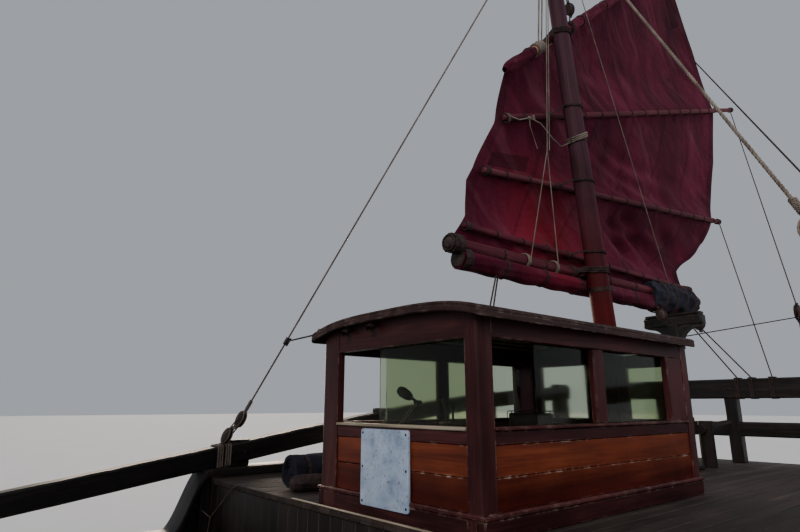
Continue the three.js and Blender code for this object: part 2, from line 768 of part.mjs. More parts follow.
function windlassBarrel() {
  const turned = (from, to, startRadius, endRadius, sideCount, turn) => bar(
    [windlassX, from, windlassZ], [windlassX, to, windlassZ], startRadius, endRadius, sideCount, turn);
  const barrel = turned(-windlassHalfLength, windlassHalfLength, barrelRadius, barrelRadius, 8);
  const headStart = windlassHalfLength + 2 * cheekGap + cheekThickness;
  const axleEnd = headStart + 70;
  const axle = turned(-axleEnd, axleEnd, axleRadius, axleRadius, 12, Math.PI / 12);
  const heads = [-1, 1].map((side) => turned(side * headStart, side * (headStart + warpingHeadLength),
    ...warpingHead, 8));
  return joined(barrel, axle, ...heads);
}

function crutch() {
  const half = crutchPost / 2;
  const headBottom = crutchTop - crutchHeadHeight;
  const outlineYZ = [
    [-half, quarterDeckTop + gap], [half, quarterDeckTop + gap], [half, crutchNeck],
    [crutchHeadHalfWidth, headBottom], [crutchHeadHalfWidth, crutchTop],
    [-crutchHeadHalfWidth, crutchTop], [-crutchHeadHalfWidth, headBottom], [-half, crutchNeck],
  ].map(([y, z]) => [crutchY + y, z]);
  return profileYZ(outlineYZ, [crutchX - half, crutchX + half]);
}

function rolledAwning() {
  const z = quarterDeckTop + gap + awningRadius * Math.cos(Math.PI / 12);
  const [from, to] = awningX.map((x) => [x, awningY, z]);
  return bar(from, to, awningRadius, awningRadius, 12, Math.PI / 12);
}

function bitts() {
  const half = bittsPost / 2;
  const posts = [-bittsY, bittsY].map((y) => block([bittsX - half, bittsX + half], [y - half, y + half],
    [foreDeckTop + gap, foreDeckTop + bittsHeight]));
  const beam = block([bittsX - 50, bittsX + 50], [-bittsBeamHalfLength, bittsBeamHalfLength],
    bittsBeamZ.map((z) => foreDeckTop + z));
  return joined(...posts, beam);
}

function signBoard() {
  return block([houseFrontX + gap, houseFrontX + signThickness], signY, signZ);
}

// Masts and rigs

function mastAxisAt(mast, z) {
  const [, footX, footZ, forward] = mast;
  return footX + (z - footZ) * forward;
}

function mastRadiusAt(mast, z) {
  const [, , footZ, , topZ, footRadius, topRadius] = mast;
  return footRadius + ((topRadius - footRadius) * (z - footZ)) / (topZ - footZ);
}

function mastBody(mast) {
  const [, , footZ, , topZ, footRadius, topRadius] = mast;
  const start = footZ - 150;
  const pole = bar([mastAxisAt(mast, start), 0, start], [mastAxisAt(mast, topZ), 0, topZ],
    footRadius, topRadius, mastSides);
  return common(pole, block([-far, far], [-far, far], [footZ + gap, far]));
}

function clothFace(rig) {
  const mast = masts[rig.mast];
  const lowest = rig.spars[0];
  return -(mastRadiusAt(mast, lowest[2]) + mastClearance + 2 * lowest[5]);
}

// A spar with flats on its sides; where it has a parrel, a ring round the mast is joined to it
function spar(rig, row) {
  const [name, luffX, luffZ, leechX, leechZ, radius] = row;
  const y = clothFace(rig) + gap + radius;
  const corner = radius / Math.cos(Math.PI / sparSides);
  const pole = bar([luffX, y, luffZ], [leechX, y, leechZ], corner, corner, sparSides, Math.PI / sparSides);
  return rig.parrels.includes(name) ? joined(pole, parrel(rig, row)) : pole;
}

function parrel(rig, row) {
  const mast = masts[rig.mast];
  const [, luffX, luffZ, leechX, leechZ, radius] = row;
  const slope = (leechZ - luffZ) / (leechX - luffX);
  const nearZ = luffZ + (mastAxisAt(mast, luffZ) - luffX) * slope;
  const z = luffZ + (mastAxisAt(mast, nearZ) - luffX) * slope;
  const half = radius * 0.8;
  const inner = mastRadiusAt(mast, z - half);
  const flat = boreRadius(inner, mastSides);
  const axis = (h) => [mastAxisAt(mast, z + h), 0, z + h];
  const ring = bar(axis(-half), axis(half), flat + 45, flat + 45, mastSides);
  const hole = bar(axis(-2 * half), axis(2 * half), flat, flat, mastSides, Math.PI / mastSides);
  const x = mastAxisAt(mast, z);
  const y = clothFace(rig) + gap + radius;
  const saddle = block([x - 2.4 * radius, x + 2.4 * radius], [y, -inner - 20], [z - half, z + half]);
  return cut(joined(ring, saddle), hole);
}

function sail(rig) {
  const face = clothFace(rig);
  return profileXZ([...rig.luff, ...rig.leech].reverse(), [face - clothThickness, face]);
}

function shroud(row, side) {
  const [name, topX, topZ, footX, footY, footZ] = row;
  const rope = bar([footX, side * footY, footZ], [topX, 0, topZ], shroudRadius, shroudRadius, 8);
  const mast = masts.find(([mastName]) => name.startsWith(mastName.slice(0, 4)));
  const mastRoom = bar([mastAxisAt(mast, mast[2]), 0, mast[2]], [mastAxisAt(mast, mast[4]), 0, mast[4]],
    mast[5] + gap, mast[6] + gap, mastSides);
  const seat = name.startsWith('mizzen') ? railTimber(side) : capPlank(side, 400, 20);
  const solids = manifoldOf(cut(rope, mastRoom, seat.translate(0, 0, gap))).decompose();
  return geometryOf(solids.sort((a, b) => b.volume() - a.volume())[0]);
}

// Colours and finishes

const finishes = {
  darkWood: new THREE.MeshStandardMaterial({ color: 0x2a1c16, roughness: 0.7, metalness: 0 }),
  deckWood: new THREE.MeshStandardMaterial({ color: 0x4a3a30, roughness: 0.8, metalness: 0 }),
  varnish: new THREE.MeshStandardMaterial({ color: 0x7a3a1a, roughness: 0.3, metalness: 0 }),
  mahogany: new THREE.MeshStandardMaterial({ color: 0x3a1a1c, roughness: 0.35, metalness: 0 }),
  spar: new THREE.MeshStandardMaterial({ color: 0x6a4038, roughness: 0.5, metalness: 0 }),
  sailcloth: new THREE.MeshStandardMaterial({ color: 0x5a1420, roughness: 0.9, metalness: 0 }),
  rope: new THREE.MeshStandardMaterial({ color: 0x8a7c66, roughness: 0.95, metalness: 0 }),
  bronze: new THREE.MeshStandardMaterial({ color: 0x8a6a3a, roughness: 0.4, metalness: 1 }),
  glass: new THREE.MeshStandardMaterial({ color: 0x9ab0b8, roughness: 0.1, metalness: 0 }),
  board: new THREE.MeshStandardMaterial({ color: 0xb8c0cc, roughness: 0.5, metalness: 0 }),
  canvas: new THREE.MeshStandardMaterial({ color: 0x2c2a44, roughness: 0.9, metalness: 0 }),
  leather: new THREE.MeshStandardMaterial({ color: 0x221a1a, roughness: 0.5, metalness: 0 }),
};

const group = new THREE.Group();

function place(name, geometry, finish) {
  const mesh = new THREE.Mesh(geometry, finishes[finish].clone());
  mesh.name = name;
  group.add(mesh);
}

const sides = [['port', 1], ['starboard', -1]];

place('hull', hull(), 'darkWood');
place('keel', keel(), 'darkWood');
place('transom', transom(), 'darkWood');
place('waist_deck', deck([breakX, foreBreakX], waistDeckTop), 'deckWood');
place('quarter_deck', deck([-far / 2, breakX + deckNosing], quarterDeckTop, wheelhouseWell, rudderTrunk),
  'deckWood');
place('fore_deck', deck([foreBreakX - deckNosing, far / 2], foreDeckTop), 'deckWood');
for (const [sideName, side] of sides) {
  place(`bulwark_${sideName}`, bulwark(side), 'darkWood');
  place(`quarter_rail_${sideName}`, quarterRail(side), 'darkWood');
}
place('stern_rail', sternRail(), 'darkWood');
place('mooring_bitts', bitts(), 'darkWood');
place('boom_crutch', crutch(), 'darkWood');
place('rolled_awning', rolledAwning(), 'canvas');
place('rudder', rudder(), 'darkWood');
place('propeller', propeller(), 'bronze');
place('hatch_coaming', hatchCoaming(), 'darkWood');
place('hatch_lid', hatchLid(), 'varnish');
place('windlass_posts', windlassPosts(), 'darkWood');
place('windlass_barrel', windlassBarrel(), 'spar');

place('wheelhouse_front', wheelhouseFront(), 'varnish');
place('wheelhouse_aft', wheelhouseAft(), 'varnish');
place('wheelhouse_door', wheelhouseDoor(), 'mahogany');
place('wheelhouse_roof', wheelhouseRoof(), 'mahogany');
place('pane_front', frontPane(), 'glass');
for (const [sideName, side] of sides) {
  place(`wheelhouse_${sideName}`, wheelhouseSide(side), 'varnish');
  place(`pane_${sideName}`, sidePane(side), 'glass');
}
place('sign_board', signBoard(), 'board');
place('helm_pedestal', helmPedestal(), 'mahogany');
place('helm_wheel', helmWheel(), 'spar');
place('helm_seat', helmSeat(), 'mahogany');
place('seat_cushion', seatCushion(), 'leather');

for (const mast of masts) {
  place(mast[0], mastBody(mast), 'spar');
}
for (const rig of rigs) {
  place(`${rig.name}_sail`, sail(rig), 'sailcloth');
  for (const row of rig.spars) {
    place(`${rig.name}_${row[0]}`, spar(rig, row), 'spar');
  }
}
for (const row of shrouds) {
  for (const [sideName, side] of sides) {
    place(`${row[0]}_${sideName}`, shroud(row, side), 'rope');
  }
}

export default group;
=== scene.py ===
import math
import random

import bmesh
import bpy
import numpy as np
from mathutils import Matrix, Vector


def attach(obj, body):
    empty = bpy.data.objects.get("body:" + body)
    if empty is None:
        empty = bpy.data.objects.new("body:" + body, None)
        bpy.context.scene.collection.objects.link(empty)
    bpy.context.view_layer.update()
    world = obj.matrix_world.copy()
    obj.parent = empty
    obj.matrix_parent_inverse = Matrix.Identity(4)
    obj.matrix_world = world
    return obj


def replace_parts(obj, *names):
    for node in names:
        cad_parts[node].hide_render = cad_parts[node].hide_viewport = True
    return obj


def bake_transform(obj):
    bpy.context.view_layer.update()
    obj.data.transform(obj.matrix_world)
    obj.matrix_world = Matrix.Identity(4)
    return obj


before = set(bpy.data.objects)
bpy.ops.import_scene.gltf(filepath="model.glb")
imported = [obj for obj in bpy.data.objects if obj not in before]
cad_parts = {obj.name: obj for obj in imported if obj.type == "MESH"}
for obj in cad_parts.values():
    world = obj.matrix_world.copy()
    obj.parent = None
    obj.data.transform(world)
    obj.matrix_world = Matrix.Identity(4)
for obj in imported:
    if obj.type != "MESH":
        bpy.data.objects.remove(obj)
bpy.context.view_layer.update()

# Camera: at eye height on the port side of the waist, looking aft and a little up at the wheelhouse
# and the mizzen sail. Its place, lens and tilt were worked out from the wheelhouse's edges.
eye = Vector((-1.003, 3.227, 2.53))
heading = Vector((-0.643, -0.766, 0)).normalized()
upward_tilt = math.radians(14)
sight = heading * math.cos(upward_tilt) + Vector((0, 0, math.sin(upward_tilt)))
right_hand = sight.cross(Vector((0, 0, 1))).normalized()
lens = bpy.data.cameras.new("camera")
lens.lens = 25.1
lens.sensor_width = 36
lens.clip_end = 400
camera = bpy.data.objects.new("camera", lens)
camera.matrix_world = Matrix((right_hand, right_hand.cross(sight), -sight)).transposed().to_4x4()
camera.location = eye
bpy.context.scene.collection.objects.link(camera)
bpy.context.scene.camera = camera


# Studio: a plain pale floor in the plane of the waterline, even pale light from all round, and soft
# lamps: a large one over the camera's shoulder, a cooler one from aft and a warm one behind the sails.
class Finish:
    """A surface finish: one shader, and the nodes that vary its colour, gloss and relief."""

    def __init__(self, name, **sockets):
        self.material = bpy.data.materials.new(name)
        self.material.use_nodes = True
        self.tree = self.material.node_tree
        self.shader = self.tree.nodes["Principled BSDF"]
        self.place = self.node("TexCoord").outputs["Object"]
        for socket, value in sockets.items():
            self.feed(self.shader.inputs[socket.replace("_", " ")], value)

    def feed(self, socket, value):
        if isinstance(value, bpy.types.NodeSocket):
            self.tree.links.new(value, socket)
        elif value is not None:
            socket.default_value = value

    def node(self, kind, *inputs, **settings):
        made = self.tree.nodes.new("ShaderNode" + kind)
        for key, value in settings.items():
            setattr(made, key, value)
        for socket, value in zip(made.inputs, inputs):
            self.feed(socket, value)
        return made

    def attribute(self, name, output="Fac"):
        return self.node("Attribute", attribute_name=name).outputs[output]

    def stretched(self, place, x, y, z):
        return self.node("VectorMath", place, (x, y, z), operation="MULTIPLY").outputs[0]

    def noise(self, place, scale=1.0, detail=4.0, rough=0.55, warp=0.0):
        made = self.node("TexNoise", place)
        for socket, value in (("Scale", scale), ("Detail", detail), ("Roughness", rough),
                              ("Distortion", warp)):
            made.inputs[socket].default_value = value
        return made.outputs["Fac"]

    def ramp(self, share, *stops):
        """Greys or colours along a ramp. Each stop: position, grey or colour."""
        made = self.node("ValToRGB", share)
        points = made.color_ramp.elements
        while len(points) < len(stops):
            points.new(0.5)
        for point, (position, colour) in zip(points, stops):
            point.position = position
            point.color = (*colour, 1) if hasattr(colour, "__len__") else (colour, colour, colour, 1)
        return made.outputs["Color"]

    def mixed(self, share, one, other, how="MIX"):
        made = self.tree.nodes.new("ShaderNodeMix")
        made.data_type = "RGBA"
        made.blend_type = how
        for index, value in ((0, share), (6, one), (7, other)):
            if hasattr(value, "__len__") and not isinstance(value, bpy.types.NodeSocket):
                value = (*value[:3], 1)
            self.feed(made.inputs[index], value)
        return made.outputs[2]

    def maths(self, how, one, other=None):
        return self.node("Math", one, other, operation=how).outputs[0]

    def colour(self, value):
        self.feed(self.shader.inputs["Base Color"], value)

    def roughness(self, share, low, high):
        self.feed(self.shader.inputs["Roughness"], self.ramp(share, (0.25, low), (0.75, high)))

    def relief(self, *layers):
        """Bumps laid one on another. Each layer: height, strength, depth in metres."""
        under = None
        for height, strength, depth in layers:
            made = self.node("Bump", strength, depth)
            self.feed(made.inputs["Height"], height)
            self.feed(made.inputs["Normal"], under)
            under = made.outputs["Normal"]
        self.feed(self.shader.inputs["Normal"], under)


floor_reach = 160.0
floor_mesh = bpy.data.meshes.new("studio_floor")
floor_mesh.from_pydata([(-floor_reach, -floor_reach, 0), (floor_reach, -floor_reach, 0),
                        (floor_reach, floor_reach, 0), (-floor_reach, floor_reach, 0)], [], [(0, 1, 2, 3)])
studio_floor = bpy.data.objects.new("studio_floor", floor_mesh)
bpy.context.scene.collection.objects.link(studio_floor)
floor_finish = Finish("studio_floor", Roughness=0.9)
floor_finish.colour(floor_finish.ramp(floor_finish.noise(floor_finish.place, 0.4), (0.3, 0.66), (0.7, 0.7)))
floor_mesh.materials.append(floor_finish.material)

sky = bpy.data.worlds.new("studio_sky")
sky.use_nodes = True
sky.node_tree.nodes["Background"].inputs["Color"].default_value = (0.86, 0.91, 1.0, 1)
sky.node_tree.nodes["Background"].inputs["Strength"].default_value = 0.44
bpy.context.scene.world = sky

# Each lamp: name, the way it shines, its width as an angle in degrees, strength, colour
for name, way, width, strength, colour in (
        ("key_lamp", (-16, -8.5, -11), 36, 1.5, (1.0, 0.95, 0.9)),
        ("aft_lamp", (13, -9, -5), 34, 1.05, (0.85, 0.92, 1.0)),
        ("sunset_lamp", (6, 15, -1.5), 30, 2.8, (1.0, 0.8, 0.62))):
    lamp = bpy.data.lights.new(name, "SUN")
    lamp.angle = math.radians(width)
    lamp.energy = strength
    lamp.color = colour
    lamp_object = bpy.data.objects.new(name, lamp)
    lamp_object.visible_transmission = False
    lamp_object.visible_glossy = name != "aft_lamp"
    lamp_object.rotation_euler = Vector(way).to_track_quat("-Z", "Y").to_euler()
    bpy.context.scene.collection.objects.link(lamp_object)


# Hull planking: thick softwood strakes laid edge to edge from the keel to the top of the bulwarks,
# caulked and tarred nearly black, with dull red paint below the waterline and a grey line of salt.
# Each station: x, half beam at the bulwark top, bulwark top, bottom at the keel, fullness.
stations = (
    (-9.75, 2.33, 2.19, 0.33, 0.85), (-8.6, 2.72, 2.1, -0.06, 0.85), (-7.2, 3.0, 1.96, -0.9, 0.8),
    (-5.6, 3.18, 1.85, -1.38, 0.7), (-4.3, 3.26, 1.8, -1.49, 0.64), (-3.54, 3.286, 1.79, -1.5, 0.62),
    (-3.18, 3.296, 1.19, -1.5, 0.61), (-1.0, 3.3, 1.23, -1.5, 0.6), (1.0, 3.27, 1.23, -1.5, 0.62),
    (3.0, 3.11, 1.29, -1.45, 0.66), (4.1, 2.92, 1.4, -1.37, 0.71), (4.85, 2.73, 1.79, -1.28, 0.75),
    (5.7, 2.45, 2.01, -1.09, 0.8), (7.0, 1.9, 2.2, -0.62, 0.9), (8.2, 1.29, 2.42, 0.12, 0.95),
    (9.15, 0.78, 2.64, 1.0, 1.0))
stern_x, bow_x = stations[0][0], stations[-1][0]
keel_half_width = 0.15
bulwark_thickness = 0.12
rake_starts = 5.5
stern_rake, bow_rake, bow_rake_base = -0.26, 0.45, 1.0
waist_deck_top, quarter_deck_top, fore_deck_top = 1.0, 1.755, 1.7
deck_thickness = 0.05
break_x, fore_break_x = -3.6, 5.0
well_x, well_half_width, well_floor = (-6.45, -3.68), 0.802, 1.18
well_casing = well_x[0] - 0.15


def faired(xs, values):
    """A smooth curve through the values that never swings past them."""
    xs, values = np.array(xs, float), np.array(values, float)
    steps = np.diff(xs)
    rises = np.diff(values) / steps
    slopes = np.zeros(len(xs))
    slopes[0], slopes[-1] = rises[0], rises[-1]
    for i in range(1, len(xs) - 1):
        if rises[i - 1] * rises[i] > 0:
            weights = 2 * steps[i] + steps[i - 1], steps[i] + 2 * steps[i - 1]
            slopes[i] = sum(weights) / (weights[0] / rises[i - 1] + weights[1] / rises[i])

    def at(x):
        x = min(max(x, xs[0]), xs[-1])
        i = min(max(int(np.searchsorted(xs, x)) - 1, 0), len(steps) - 1)
        t = (x - xs[i]) / steps[i]
        start, end = values[i], values[i + 1]
        lift = t * (1 - t) * ((1 - t) * slopes[i] - t * slopes[i + 1]) * steps[i]
        return float(start + (end - start) * t * t * (3 - 2 * t) + lift)
    return at


half_beam, sheer, bottom, fullness = (faired([row[0] for row in stations], [row[column] for row in stations])
                                      for column in (1, 2, 3, 4))


def raked(x, z):
    aft = max(-x - rake_starts, 0) / (-stern_x - rake_starts)
    fore = max(x - rake_starts, 0) / (bow_x - rake_starts)
    return x + aft * stern_rake * z + fore * bow_rake * (z - bow_rake_base)


def hull_point(x, turn, inset=0.0):
    """On the station x, from the keel at turn 0 to the bulwark top at a quarter turn."""
    y = keel_half_width + (half_beam(x) - inset - keel_half_width) * math.sin(turn) ** fullness(x)
    z = bottom(x) + (sheer(x) - bottom(x)) * (1 - math.cos(turn))
    return Vector((raked(x, z), y, z))


def turn_at_height(x, z):
    share = 1 - (z - bottom(x)) / (sheer(x) - bottom(x))
    return math.acos(min(max(share, 0.0), 1.0))


def sunk_point(x, turn, depth):
    """A hull point moved inward, square to the planking, in the plane of its station."""
    nudge = 0.004
    before, after = hull_point(x, max(turn - nudge, 0.0)), hull_point(x, min(turn + nudge, math.pi / 2))
    along = Vector((0, after.y - before.y, after.z - before.z)).normalized()
    return hull_point(x, turn) + Vector((0, -along.z, along.y)) * depth


class Joinery:
    """A piece as it is put together: points, faces, and each board's grain and tone."""

    def __init__(self, seed):
        self.points = []
        self.faces = []
        self.grain = []
        self.tone = []
        self.dice = random.Random(seed)

    def add(self, points, faces, along=(1, 0, 0), grain=None, tone=None):
        first = len(self.points)
        points = [Vector(point) for point in points]
        shift = self.dice.uniform(0, 40)
        drawn = self.dice.random()
        if grain is None:
            along = Vector(along).normalized()
            side = along.orthogonal().normalized()
            third = along.cross(side)
            grain = [(along.dot(point), side.dot(point), third.dot(point)) for point in points]
        self.grain += [(a + shift, b + shift, c) for a, b, c in grain]
        if not hasattr(tone, "__len__"):
            tone = [drawn if tone is None else tone] * len(points)
        self.tone += list(tone)
        self.points += points
        self.faces += [tuple(first + index for index in face) for face in faces]

    def sweep(self, rings, tone=None, loop=False):
        """A closed skin over rings of points, with its ends closed unless the rings form a loop."""
        count = len(rings[0])
        points = [point for ring in rings for point in ring]
        total = len(rings) if loop else len(rings) - 1
        faces = []
        for i in range(total):
            a, b = i * count, ((i + 1) % len(rings)) * count
            faces += [(a + j, a + (j + 1) % count, b + (j + 1) % count, b + j) for j in range(count)]
        if not loop:
            last = (len(rings) - 1) * count
            faces += [tuple(range(count)), tuple(last + j for j in range(count))]
        grain = []
        run = 0.0
        for i, ring in enumerate(rings):
            if i:
                run += (Vector(ring[0]) - Vector(rings[i - 1][0])).length
            round_it = 0.0
            for j, point in enumerate(ring):
                if j:
                    round_it += (Vector(point) - Vector(ring[j - 1])).length
                grain.append((run, round_it, 0.0))
        self.add(points, faces, grain=grain, tone=tone)

    def board(self, low, high, edge=0.004, tone=None, set_in=None):
        """A sawn board with eased edges; set_in turns and moves it from its own place."""
        points = []
        for corner in range(8):
            signs = [corner & 1, corner >> 1 & 1, corner >> 2 & 1]
            for proud in range(3):
                point = []
                for axis in range(3):
                    inset = 0 if axis == proud else edge
                    point.append(high[axis] - inset if signs[axis] else low[axis] + inset)
                points.append(set_in @ Vector(point) if set_in else Vector(point))
        longest = max(range(3), key=lambda axis: high[axis] - low[axis])
        along = [float(axis == longest) for axis in range(3)]
        if set_in:
            along = set_in.to_3x3() @ Vector(along)
        self.add(points, board_faces, along=along, tone=tone)

    def finished(self, name, body, slot, finish, crease=38):
        mesh = bpy.data.meshes.new(name)
        mesh.from_pydata([tuple(point) for point in self.points], [], self.faces)
        worked = bmesh.new()
        worked.from_mesh(mesh)
        bmesh.ops.recalc_face_normals(worked, faces=worked.faces)
        worked.to_mesh(mesh)
        worked.free()
        mesh.attributes.new("grain", "FLOAT_VECTOR", "POINT").data.foreach_set("vector", np.ravel(self.grain))
        mesh.attributes.new("tone", "FLOAT", "POINT").data.foreach_set("value", np.array(self.tone, float))
        mesh.shade_smooth()
        mesh.set_sharp_from_angle(angle=math.radians(crease))
        mesh.materials.append(finish.material)
        piece = bpy.data.objects.new(name, mesh)
        bpy.context.scene.collection.objects.link(piece)
        if body:
            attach(piece, body)
        return piece


def board_face_list():
    faces = []
    for axis in range(3):
        a, b = (axis + 1) % 3, (axis + 2) % 3
        for sign in range(2):
            ring = [(0, 0), (1, 0), (1, 1), (0, 1)]
            faces.append([3 * ((sign << axis) + (p << a) + (q << b)) + axis for p, q in ring])
        for p in range(2):
            for q in range(2):
                corner = (p << a) + (q << b)
                faces.append([3 * corner + a, 3 * corner + b,
                              3 * (corner + (1 << axis)) + b, 3 * (corner + (1 << axis)) + a])
    return faces + [[3 * corner, 3 * corner + 1, 3 * corner + 2] for corner in range(8)]


board_faces = board_face_list()


def wood_finish(name, deep, middle, light, rough=(0.45, 0.75), edge_wear=None, grain_depth=0.0015,
                streak=3.0, whole=False, shine=0.25, **sockets):
    """Sawn wood: long fibres and broader bands along the grain, each board in its own tone.
    whole is for a piece with no boards of its own: the grain then runs along the ship."""
    finish = Finish(name, Specular_IOR_Level=shine, **sockets)
    place = finish.place if whole else finish.attribute("grain", "Vector")
    fibres = finish.noise(finish.stretched(place, streak, 60, 60), detail=6, rough=0.65)
    bands = finish.noise(finish.stretched(place, streak * 0.2, 9, 9), detail=3, warp=0.6)
    stains = finish.noise(finish.place, 1.7, detail=5, rough=0.6)
    share = finish.mixed(0.55, fibres, bands)
    colour = finish.ramp(share, (0.3, deep), (0.5, middle), (0.72, light))
    colour = finish.mixed(1.0, colour, finish.ramp(stains, (0.3, 0.62), (0.65, 1.08)), "MULTIPLY")
    if not whole:
        board_tone = finish.ramp(finish.attribute("tone"), (0.0, 0.68), (1.0, 1.22))
        colour = finish.mixed(1.0, colour, board_tone, "MULTIPLY")
    if edge_wear:
        worn_colour, worn_share = edge_wear
        rounded = finish.node("Bevel", 0.012, samples=3).outputs["Normal"]
        true_normal = finish.node("NewGeometry").outputs["Normal"]
        alike = finish.node("VectorMath", rounded, true_normal, operation="DOT_PRODUCT").outputs["Value"]
        near_edge = finish.ramp(alike, (0.86, 1.0), (0.995, 0.0))
        patchy = finish.ramp(finish.noise(finish.place, 9, detail=6, rough=0.7), (0.5, 0.0), (0.62, 1.0))
        rubbed = finish.mixed(1.0, near_edge, patchy, "MULTIPLY")
        rubbed = finish.mixed(1.0, rubbed, (worn_share,) * 3, "MULTIPLY")
        colour = finish.mixed(rubbed, colour, worn_colour)
    finish.colour(colour)
    finish.roughness(finish.mixed(0.5, fibres, stains), *rough)
    finish.relief((bands, 0.5, grain_depth * 2), (fibres, 0.6, grain_depth))
    return finish


hull_finish = wood_finish("tarred_planking", (0.007, 0.005, 0.004), (0.018, 0.012, 0.01),
                          (0.04, 0.028, 0.022), rough=(0.35, 0.7))
height = hull_finish.node("SeparateXYZ", hull_finish.place).outputs["Z"]
ragged = hull_finish.maths("MULTIPLY_ADD", hull_finish.noise(hull_finish.place, 3.0, detail=6), 0.16)
ragged.node.inputs[2].default_value = -0.08
wetted = hull_finish.maths("ADD", height, ragged)
painted = hull_finish.ramp(wetted, (0.10, 1.0), (0.11, 0.0))
salted = hull_finish.ramp(wetted, (0.09, 0.0), (0.12, 0.55), (0.26, 0.0))
planking_colour = hull_finish.shader.inputs["Base Color"].links[0].from_socket
planking_colour = hull_finish.mixed(salted, planking_colour, (0.17, 0.16, 0.14))
hull_finish.colour(hull_finish.mixed(painted, planking_colour, (0.15, 0.032, 0.022)))

strake_count = 19
seam_share = 0.045  # of a strake's width, on each side of a seam
seam_depth = 0.007


def hull_ring(x, solid_top):
    """Round one station: up the planking, over the bulwark, down inside it, and across under the deck."""
    quarter = math.pi / 2
    half, tones = [], []
    for strake in range(strake_count):
        for across, depth in ((0.0, seam_depth), (seam_share, 0.0), (0.5, -0.002), (1 - seam_share, 0.0)):
            half.append(sunk_point(x, quarter * (strake + across) / strake_count, depth))
            tones.append((strake * 0.618) % 1.0)
    half.append(hull_point(x, quarter))
    inner_top = sheer(x)
    for z in (inner_top, (inner_top + solid_top) / 2, solid_top):
        half.append(hull_point(x, turn_at_height(x, min(z, inner_top)), bulwark_thickness))
        half[-1].z = z
    tones += [0.4] * 4
    mirrored = [Vector((point.x, -point.y, point.z)) for point in reversed(half)]
    return half + mirrored, tones + tones[::-1]


def solid_top_at(x):
    if x > fore_break_x:
        return fore_deck_top - deck_thickness
    if x > break_x:
        return waist_deck_top - deck_thickness
    return well_floor - deck_thickness if x > well_casing else quarter_deck_top - deck_thickness


step = 0.002
hull_columns = [*np.linspace(stern_x, well_casing - step, 22),
                *np.linspace(well_casing + step, break_x - step, 17),
                *np.linspace(break_x + step, fore_break_x - step, 48),
                *np.linspace(fore_break_x + step, bow_x, 26)]
hull_rings, hull_tones = zip(*(hull_ring(x, solid_top_at(x)) for x in hull_columns))
planking = Joinery(1)
planking.sweep(hull_rings, tone=[tone for ring in hull_tones for tone in ring])
hull_planking = planking.finished("hull_planking", "ship", "hull_timber", hull_finish, crease=30)
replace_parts(hull_planking, "hull", "bulwark_port", "bulwark_starboard")

# Wales: two heavy rubbing timbers along each side, spiked through the planking at every frame, with
# the iron heads showing.
wale_turns = (math.radians(84), math.radians(74))
wale_half_turn = math.radians(1.7)
wale_proud, spike_pitch = 0.036, 0.62
wale_section = ((-1, 0.01), (-1, -wale_proud * 0.8), (-0.8, -wale_proud), (0.8, -wale_proud),
                (1, -wale_proud * 0.8), (1, 0.01))
iron_finish = Finish("painted_iron", Metallic=0.6, Base_Color=(0.02, 0.019, 0.018, 1))
rust = iron_finish.noise(iron_finish.place, 40, detail=6, rough=0.7)
iron_finish.colour(iron_finish.ramp(rust, (0.45, (0.015, 0.014, 0.014)), (0.7, (0.1, 0.04, 0.02))))
iron_finish.roughness(rust, 0.4, 0.8)
iron_finish.relief((rust, 0.4, 0.001))


def full_turn(count):
    """Angles round a circle, without the last one that would meet the first."""
    return np.linspace(0, 2 * math.pi, count, endpoint=False)


def dome(work, centre, outward, radius, rise, count=8):
    """A low round head, as on a spike or screw, standing outward from centre."""
    outward = Vector(outward).normalized()
    side = outward.orthogonal().normalized()
    other = outward.cross(side)
    rings = []
    for lift, share in ((-rise, 1.0), (0.35 * rise, 1.0), (0.85 * rise, 0.6), (rise, 0.15)):
        middle = Vector(centre) + outward * lift
        rings.append([middle + (side * math.cos(a) + other * math.sin(a)) * radius * share
                      for a in full_turn(count)])
    work.sweep(rings)


port, starboard = 1, -1
sides = (("port", port), ("starboard", starboard))
wales = Joinery(2)
wale_spikes = Joinery(3)
for name, side in sides:
    for turn in wale_turns:
        rings = []
        for x in np.linspace(stern_x + 0.02, bow_x - 0.02, 90):
            ring = [sunk_point(x, turn + wale_half_turn * swing, depth) for swing, depth in wale_section]
            rings.append([Vector((point.x, side * point.y, point.z)) for point in ring])
        wales.sweep(rings)
        for x in np.arange(stern_x + 0.3, bow_x - 0.2, spike_pitch):
            head = sunk_point(x, turn, -wale_proud)
            away = head - sunk_point(x, turn, 0.0)
            dome(wale_spikes, (head.x, side * head.y, head.z), (0, side * away.y, away.z), 0.016, 0.006)
wales.finished("hull_wales", "ship", "hull_timber", hull_finish)
wale_spikes.finished("wale_spikes", "ship", "hull_timber", iron_finish)

# Stern and bow boards: the flat ends of the hull, planked across with thick softwood boards that are
# cut to its curve, spiked to the last frames and tarred.
end_boards = Joinery(4)
stern_boards, bow_boards = 9, 8
transom_thickness = 0.09


def end_board(x, low, high, thickness, tone=None):
    """One board across the hull's end, cut to the hull's curve at its two edges."""
    corners = []
    for z in (low + 0.003, high - 0.003):
        turn = turn_at_height(x, z)
        edge = hull_point(x, turn)
        corners.append((edge.x, edge.y, z))
    rings = []
    for depth, trim in ((0.0, 0.0), (0.8, 0.0), (1.0, 0.006)):
        (x0, y0, z0), (x1, y1, z1) = corners
        out = thickness * depth
        rings.append([Vector((x0 + out, -y0 + trim, z0 + trim)), Vector((x0 + out, y0 - trim, z0 + trim)),
                      Vector((x1 + out, y1 - trim, z1 - trim)), Vector((x1 + out, -y1 + trim, z1 - trim))])
    first = len(end_boards.points)
    end_boards.sweep(rings, tone=tone)
    for index in range(first, len(end_boards.points)):
        point = end_boards.points[index]
        end_boards.grain[index] = (point.y + 3.1 * low, point.z, 0.0)


